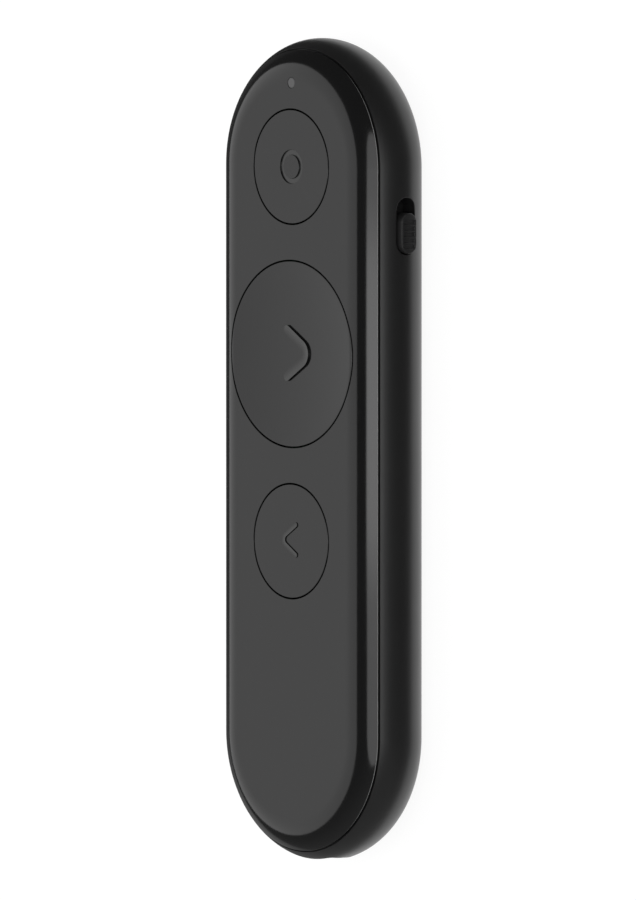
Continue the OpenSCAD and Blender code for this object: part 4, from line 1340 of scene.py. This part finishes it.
# The keys paint a sheen of grey 0.024 on their marks.
key_finish = finish("polished_black_key", BLACK, 0.12, grain=0.3, depth=0.00012, cloud=9.0,
                    spread=0.006, haze=0.015, rub=0.3, painted_sheen_amount=0.024)
housing_finish = finish("satin_black_housing", (0.0085, 0.0085, 0.0086), 0.4, grain=0.16,
                        depth=0.0012, cloud=12.0, spread=0.012, haze=0.015, rub=0.25)
knob_finish = finish("matt_black_knob", (0.0085, 0.0085, 0.0087), 0.6, grain=0.12, depth=0.0025,
                     cloud=3.0, spread=0.03, rub=0.5)
pipe_finish = finish("smoky_light_pipe", (0.072, 0.072, 0.073), 0.3, grain=0.1, depth=0.0006,
                     cloud=1.5, tone=0.12, spread=0.03, IOR=1.49)
for piece, material in ((cover, cover_finish), (housing, housing_finish), (spot_key, key_finish),
                        (next_key, key_finish), (back_key, key_finish), (knob, knob_finish),
                        (pipe, pipe_finish)):
    piece.data.materials.append(material)

# %% [markdown]
# ## Metals
# Rolled or plated metal has fine streaks along the way it was drawn. They are a noise stretched
# along one axis, which drives the roughness and a very small bump.

# %% Steel and gold
def metal(name, colour, roughness, stretch, spread=0.06, depth=0.0006):
    """Drawn or plated metal: streaks along the axis with the smallest stretch."""
    material, tree, shader, at = start(name, Metallic=1.0)
    along = add(tree, "Mapping", {0: at, 3: stretch})
    streaks = add(tree, "TexNoise", {"Vector": along.outputs[0], "Scale": 5000.0, "Detail": 3.0})
    skin = place(tree, moulded_grain, Vector=at, Grain=0.4, Cloud=2.5)
    cover_with(tree, shader, mixed(tree, skin["Clouds"], shade(colour, 0.86), shade(colour, 1.1)),
               plus(tree, roughness - spread, 2 * spread, streaks.outputs[0]),
               streaks.outputs[0], depth)
    return material


plated_steel = metal("nickel_plated_steel", (0.55, 0.56, 0.57), 0.3, (1.0, 0.06, 1.0))
spring_steel = metal("bright_spring_steel", (0.6, 0.6, 0.6), 0.22, (1.0, 0.12, 1.0))
gold_plate = metal("gold_plated_contact", (0.83, 0.6, 0.25), 0.24, (1.0, 0.08, 1.0))
port_sleeve.data.materials.append(plated_steel)
for dome in domes.values():
    dome.data.materials.append(spring_steel)

# %% [markdown]
# ## Inside: plastics, chips and ceramics
# The solids inside keep their shape and get their finish in the same way. A chip's resin has a
# coarse grain, white nylon is waxy and a little see-through, and fired ceramic is speckled.

# %% Switches, chips, nylon and ceramic
switch_plastic = finish("matt_switch_plastic", (0.02, 0.02, 0.022), 0.55, grain=0.1, depth=0.003,
                        cloud=1.5, tone=0.15, spread=0.05, rub=0.4)
chip_resin = finish("chip_resin", (0.015, 0.015, 0.016), 0.6, grain=0.08, depth=0.004,
                    cloud=0.7, tone=0.3, spread=0.06, rub=0.3)
white_nylon = finish("white_nylon", (0.75, 0.73, 0.68), 0.42, grain=0.15, depth=0.002,
                     cloud=1.2, tone=0.05, spread=0.05, Subsurface_Weight=0.15,
                     Subsurface_Scale=0.0006)
white_ceramic = finish("white_ceramic", (0.8, 0.8, 0.78), 0.35, grain=0.05, depth=0.002,
                       cloud=0.4, tone=0.06, spread=0.08)
foam_finish = finish("adhesive_foam", (0.6, 0.58, 0.52), 0.85, grain=0.25, depth=0.05,
                     cloud=1.0, tone=0.1, spread=0.05)
red_finish = finish("red_insulation", (0.45, 0.02, 0.015), 0.38, grain=0.3, depth=0.002,
                    cloud=1.5, tone=0.08, spread=0.05)
black_finish = finish("black_insulation", (0.012, 0.012, 0.012), 0.38, grain=0.3, depth=0.002,
                      cloud=1.5, tone=0.08, spread=0.05)

# %% [markdown]
# The board is glass laminate under a green mask, and the mask is a little paler where a copper
# trace lies under it. The traces are the joints of a brick pattern, which run straight along both
# axes as a layout program draws them.

# %% Circuit board
board_finish, tree, shader, at = start("green_masked_laminate",
                                       Coat_Weight=0.4, Coat_Roughness=0.12)
bricks = add(tree, "TexBrick", {"Vector": at, "Scale": 1000.0, "Mortar Size": 0.16,
                                "Mortar Smooth": 0.3, "Brick Width": 3.4, "Row Height": 0.9})
skin = place(tree, moulded_grain, Vector=at, Grain=0.25, Cloud=5.0)
mask = mixed(tree, skin["Clouds"], (0.008, 0.05, 0.024), (0.012, 0.07, 0.035))
traced = bricks.outputs["Fac"]
cover_with(tree, shader, mixed(tree, traced, mask, (0.03, 0.13, 0.05)),
           plus(tree, 0.3, 0.12, skin["Height"]), plus(tree, traced, 0.15, skin["Height"]), 0.02)

# %% [markdown]
# A resistor or capacitor is a tan body with tinned ends. Eight of them stand in a ring round the
# radio chip and point outwards, so there the ends lie at the ring's inner and outer edge. The other
# four stand in a row beside the charging chip, and there the ends repeat along X. The repeat is
# shorter than the row's pitch, so in the row the tin lies only roughly at the ends.

# %% Capacitors
RING_MIDDLE, ROW_PITCH, BODY_HALF, ROW_HALF_W = 4.5955, 2.2, 0.28, 3.0
radio_lo, radio_hi = node_box("radio_chip")
charger_lo, charger_hi = node_box("charging_chip")
cap_finish, tree, shader, at = start("tinned_ceramic_chip")


def mm_from(tree, at, x, y):
    """X and Y in millimetres, counted from a point."""
    moved = add(tree, "Mapping", {0: at, 1: (-x, -y, 0.0), 3: (1000.0, 1000.0, 0.0)}).outputs[0]
    return moved, add(tree, "SeparateXYZ", {0: moved}).outputs


moved, _ = mm_from(tree, at, (radio_lo[0] + radio_hi[0]) / 2, (radio_lo[1] + radio_hi[1]) / 2)
from_ring = math(tree, "ABSOLUTE", math(tree, "SUBTRACT", add(
    tree, "VectorMath", {0: moved}, operation="LENGTH").outputs["Value"], RING_MIDDLE))
_, row = mm_from(tree, at, charger_hi[0] + ROW_PITCH / 2, charger_lo[1])
from_row = math(tree, "ABSOLUTE", math(tree, "WRAP", row[0], -ROW_PITCH / 2))
in_row = math(tree, "LESS_THAN", math(tree, "ABSOLUTE", row[1]), ROW_HALF_W)
off_middle = add(tree, "Mix", {0: in_row, 2: from_ring, 3: from_row}).outputs[0]
tinned = math(tree, "GREATER_THAN", off_middle, BODY_HALF)
skin = place(tree, moulded_grain, Vector=at, Grain=0.06, Cloud=0.5)
body = mixed(tree, skin["Clouds"], (0.28, 0.19, 0.11), (0.4, 0.28, 0.17))
cover_with(tree, shader, mixed(tree, tinned, body, (0.62, 0.62, 0.6)),
           plus(tree, 0.3, 0.25, skin["Height"]), skin["Height"], 0.003)
tree.links.new(tinned, shader.inputs["Metallic"])

# %% [markdown]
# The cell's pouch is soft foil with shallow creases, which are the borders of large cells. The
# cells come from a pattern of scattered points, whose coordinates a noise moves a little.

# %% Foil
foil_finish, tree, shader, at = start("creased_pouch_foil", Metallic=1.0)
skin = place(tree, moulded_grain, Vector=at, Grain=0.5, Cloud=7.0)
bent = add(tree, "VectorMath", {0: at, 1: add(tree, "Mapping", {
    0: add(tree, "TexNoise", {"Vector": at, "Scale": 300.0}).outputs["Color"],
    3: (0.003, 0.003, 0.003)}).outputs[0]}, operation="ADD")
creases = add(tree, "TexVoronoi", {"Vector": bent.outputs[0], "Scale": 160.0},
              feature="DISTANCE_TO_EDGE")
fold = add(tree, "MapRange", {0: creases.outputs["Distance"], 1: 0.0, 2: 0.08, 3: 1.0, 4: 0.0},
           interpolation_type="SMOOTHSTEP").outputs[0]
cover_with(tree, shader, mixed(tree, skin["Clouds"], (0.5, 0.51, 0.52), (0.66, 0.67, 0.68)),
           plus(tree, 0.34, 0.14, fold), plus(tree, fold, 0.4, skin["Clouds"]), 0.04)

# %% [markdown]
# The tape over the cell's circuit is amber film with a clear, shiny coat. Fine wrinkles run along
# it, which are a noise stretched along X.

# %% Tape
tape_finish, tree, shader, at = start("amber_film", Coat_Weight=0.5, Coat_Roughness=0.1)
along = add(tree, "Mapping", {0: at, 3: (0.3, 1.0, 1.0)})
wrinkles = add(tree, "TexNoise", {"Vector": along.outputs[0], "Scale": 1400.0, "Detail": 2.0})
skin = place(tree, moulded_grain, Vector=at, Grain=0.2, Cloud=3.0)
cover_with(tree, shader, mixed(tree, skin["Clouds"], (0.36, 0.15, 0.02), (0.52, 0.25, 0.045)),
           plus(tree, 0.2, 0.15, wrinkles.outputs[0]), wrinkles.outputs[0], 0.02)

# %% [markdown]
# Everything inside that a fine surface wouldn't improve keeps its solid. Each such solid gets the
# finish of what it is made of.

# %% Finishes on the solids that stay
STAY = {
    white_nylon: ["spot_stem", "next_stem", "back_stem", "slide_lever", "cell_header", "cell_plug"],
    switch_plastic: ["spot_switch", "next_switch", "back_switch", "slide_switch_base",
                     "port_tongue"],
    plated_steel: ["slide_switch_frame", "board_screws", "crystal"],
    gold_plate: ["port_contacts"], board_finish: ["circuit_board"],
    chip_resin: ["radio_chip", "charging_chip", "motion_sensor"],
    white_ceramic: ["chip_antenna", "indicator_led"], cap_finish: ["passives"],
    foil_finish: ["cell_pouch"], tape_finish: ["cell_protection"], foam_finish: ["cell_pad"],
    red_finish: ["cell_lead_red"], black_finish: ["cell_lead_black"]}
for material, names in STAY.items():
    for name in names:
        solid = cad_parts[name]
        for slot in solid.material_slots:
            slot.material = material
print("solids dressed:", sum(len(names) for names in STAY.values()))

# %% [markdown]
# ## Studio
# The world is a plain white studio. The camera, and every reflecting or clear surface, sees it as
# white, while as a lamp it counts with a lower level, so that it only fills the shadows.

# %% World
def seen_directly(tree):
    """1 for camera, glossy and transmission rays, and 0 for the others."""
    path = add(tree, "LightPath").outputs
    pair = math(tree, "MAXIMUM", path["Is Camera Ray"], path["Is Glossy Ray"])
    return math(tree, "MAXIMUM", pair, path["Is Transmission Ray"])


FILL = 0.55
world = bpy.data.worlds.new("white_studio")
world.use_nodes = True
tree = world.node_tree
strength = add(tree, "MapRange", {0: seen_directly(tree), 3: FILL, 4: 1.0})
background = tree.nodes["Background"]
background.inputs["Color"].default_value = (1, 1, 1, 1)
tree.links.new(strength.outputs[0], background.inputs["Strength"])
bpy.context.scene.world = world

# %% [markdown]
# The clicker lies on a pale floor, a hair above it. The floor too looks white to the camera, and
# for all other light it is a plain pale sheet. It keeps its shadow, because only a part of its
# brightness is added on top. From below it is clear like a sheet of glass, so that the clicker's
# underside can be looked at as well.

# %% Floor
FLOOR_Z, FLOOR_R, GLOW = -0.05, 3000, 0.92
FLOOR_PLAIN, FLOOR_SEEN = (0.82, 0.82, 0.82), (0.12, 0.12, 0.12)


def level_sheet(inner, outer, z):
    """A level sheet between two closed outlines with the same number of points."""
    rings = np.stack([np.concatenate([p, np.full((len(p), 1), z)], -1) for p in (inner, outer)])
    return sheet(rings, all_facing(rings, (0, 0, 1.0)), closed_v=True)


turn = np.linspace(0, 2 * np.pi, 96, endpoint=False)
circle = np.stack([np.cos(turn), np.sin(turn)], -1)
floor = make_piece("pale_floor", [level_sheet(circle * 0, circle * FLOOR_R, FLOOR_Z)])
floor_finish = bpy.data.materials.new("pale_floor_paint")
floor_finish.use_nodes = True
tree = floor_finish.node_tree
tree.nodes.clear()
direct = seen_directly(tree)
paint = add(tree, "BsdfDiffuse", {"Color": mixed(tree, direct, FLOOR_PLAIN, FLOOR_SEEN)})
glow = add(tree, "Emission", {"Strength": math(tree, "MULTIPLY", GLOW, direct)})
both = add(tree, "AddShader", {0: paint.outputs[0], 1: glow.outputs[0]})
one_way = add(tree, "MixShader", {0: add(tree, "NewGeometry").outputs["Backfacing"],
                                  1: both.outputs[0], 2: add(tree, "BsdfTransparent").outputs[0]})
add(tree, "OutputMaterial", {"Surface": one_way.outputs[0]})
floor.data.materials.append(floor_finish)

# %% [markdown]
# Glossy black shows no colour of its own, only what it mirrors. Two round softboxes light the
# clicker: the left one is what the flat face mirrors, and the right one draws the bright band along
# the side. A narrow strip lamp close by gives that band its bright core.

# %% Lamps
LAMP_Z = 0.01


def softbox(name, angle, distance, size, radiance, shape="ELLIPSE", y=0.0):
    """A lamp that hangs at an angle from straight up towards the right, and faces the clicker.
    distance, y and size are in metres, and size is its extent along that turn and along the body.
    A flat lamp's power is its radiance times pi times its area."""
    data = bpy.data.lights.new(name, "AREA")
    data.shape, data.size, data.size_y = shape, size[0], size[1]
    area = size[0] * size[1] * (np.pi / 4 if shape == "ELLIPSE" else 1)
    data.energy = radiance * np.pi * area
    lamp = bpy.data.objects.new(name, data)
    away = Vector((np.sin(radians(angle)), 0, np.cos(radians(angle))))
    across = Vector((away.z, 0, -away.x))
    facing = Matrix((across, away.cross(across), away)).transposed().to_4x4()
    lamp.matrix_world = Matrix.Translation(distance * away + Vector((0, y, LAMP_Z))) @ facing
    lamp.visible_camera = False
    bpy.context.scene.collection.objects.link(lamp)


softbox("left_softbox", angle=-48, distance=0.8, size=(1.26, 1.06), radiance=0.98)
softbox("right_softbox", angle=40.3, distance=0.8, size=(0.67, 0.76), radiance=1.6, y=0.016)
softbox("right_strip", angle=41, distance=0.25, size=(0.22, 0.05), radiance=1.65,
        shape="RECTANGLE", y=-0.003)

# %% [markdown]
# The rest of what the black mirrors is dark cloth: a tent over the clicker and a flat flag round
# it on the floor. Both grow brighter towards the lower end, so that the reflections change along
# the body as in the photograph. A narrow bright card lies close round the clicker, and is mirrored
# in its lower side. Cloth and card are there for reflections alone.

# %% Dark cloth
def dark_cloth(name, sheets, slope, start, end, low, high):
    """Cloth that only reflections see. Its brightness rises from low to high, first slowly and then
    faster, as the sum of slope times the coordinates goes from start to end."""
    cloth = make_piece(name, sheets)
    material = bpy.data.materials.new(name + "_weave")
    material.use_nodes = True
    tree = material.node_tree
    tree.nodes.clear()
    along = add(tree, "VectorMath", {0: add(tree, "TexCoord").outputs["Object"], 1: slope},
                operation="DOT_PRODUCT").outputs["Value"]
    share = add(tree, "MapRange", {0: along, 1: start, 2: end}).outputs[0]
    level = plus(tree, low, high - low, math(tree, "MULTIPLY", share, share))
    add(tree, "OutputMaterial", {"Surface": add(tree, "Emission", {"Strength": level}).outputs[0]})
    cloth.data.materials.append(material)
    cloth.visible_camera = cloth.visible_diffuse = cloth.visible_shadow = False
    cloth.visible_transmission = cloth.visible_volume_scatter = False


TENT_R, FLAG_Z, CARD_Z = 1000.0, 0.2, 0.1
SIDE_GAP, END_GAP, CARD_IN = 3.1, 8.0, 1.5
CARD_LEVEL = 1.3
rise, turn = np.radians(np.linspace(0, 90, 19))[:, None], np.radians(np.arange(0, 360, 7.5))
tent = np.dstack([np.cos(rise) * np.cos(turn), np.cos(rise) * np.sin(turn),
                  np.broadcast_to(np.sin(rise), (19, 48))])
dark_cloth("tent_cloth", [sheet(tent * TENT_R, -tent, closed_v=True)],
           slope=(0.35, -1, -0.3), start=-0.4, end=0.95, low=0.05, high=0.32)
base, out = outline()
hole = base * [1, 1 + (END_GAP - SIDE_GAP) / spine] + (half_w + SIDE_GAP) * out
dark_cloth("floor_flag", [level_sheet(hole, out * TENT_R, FLAG_Z)],
           slope=(0, -1, 0), start=0.02, end=0.07, low=0.08, high=0.33)
dark_cloth("bounce_card", [level_sheet(base + (flat_w + CARD_IN) * out, hole, CARD_Z)],
           slope=(0, -1, 0), start=0.0, end=1.0, low=CARD_LEVEL, high=CARD_LEVEL)
bpy.context.scene.view_settings.view_transform = "Standard"
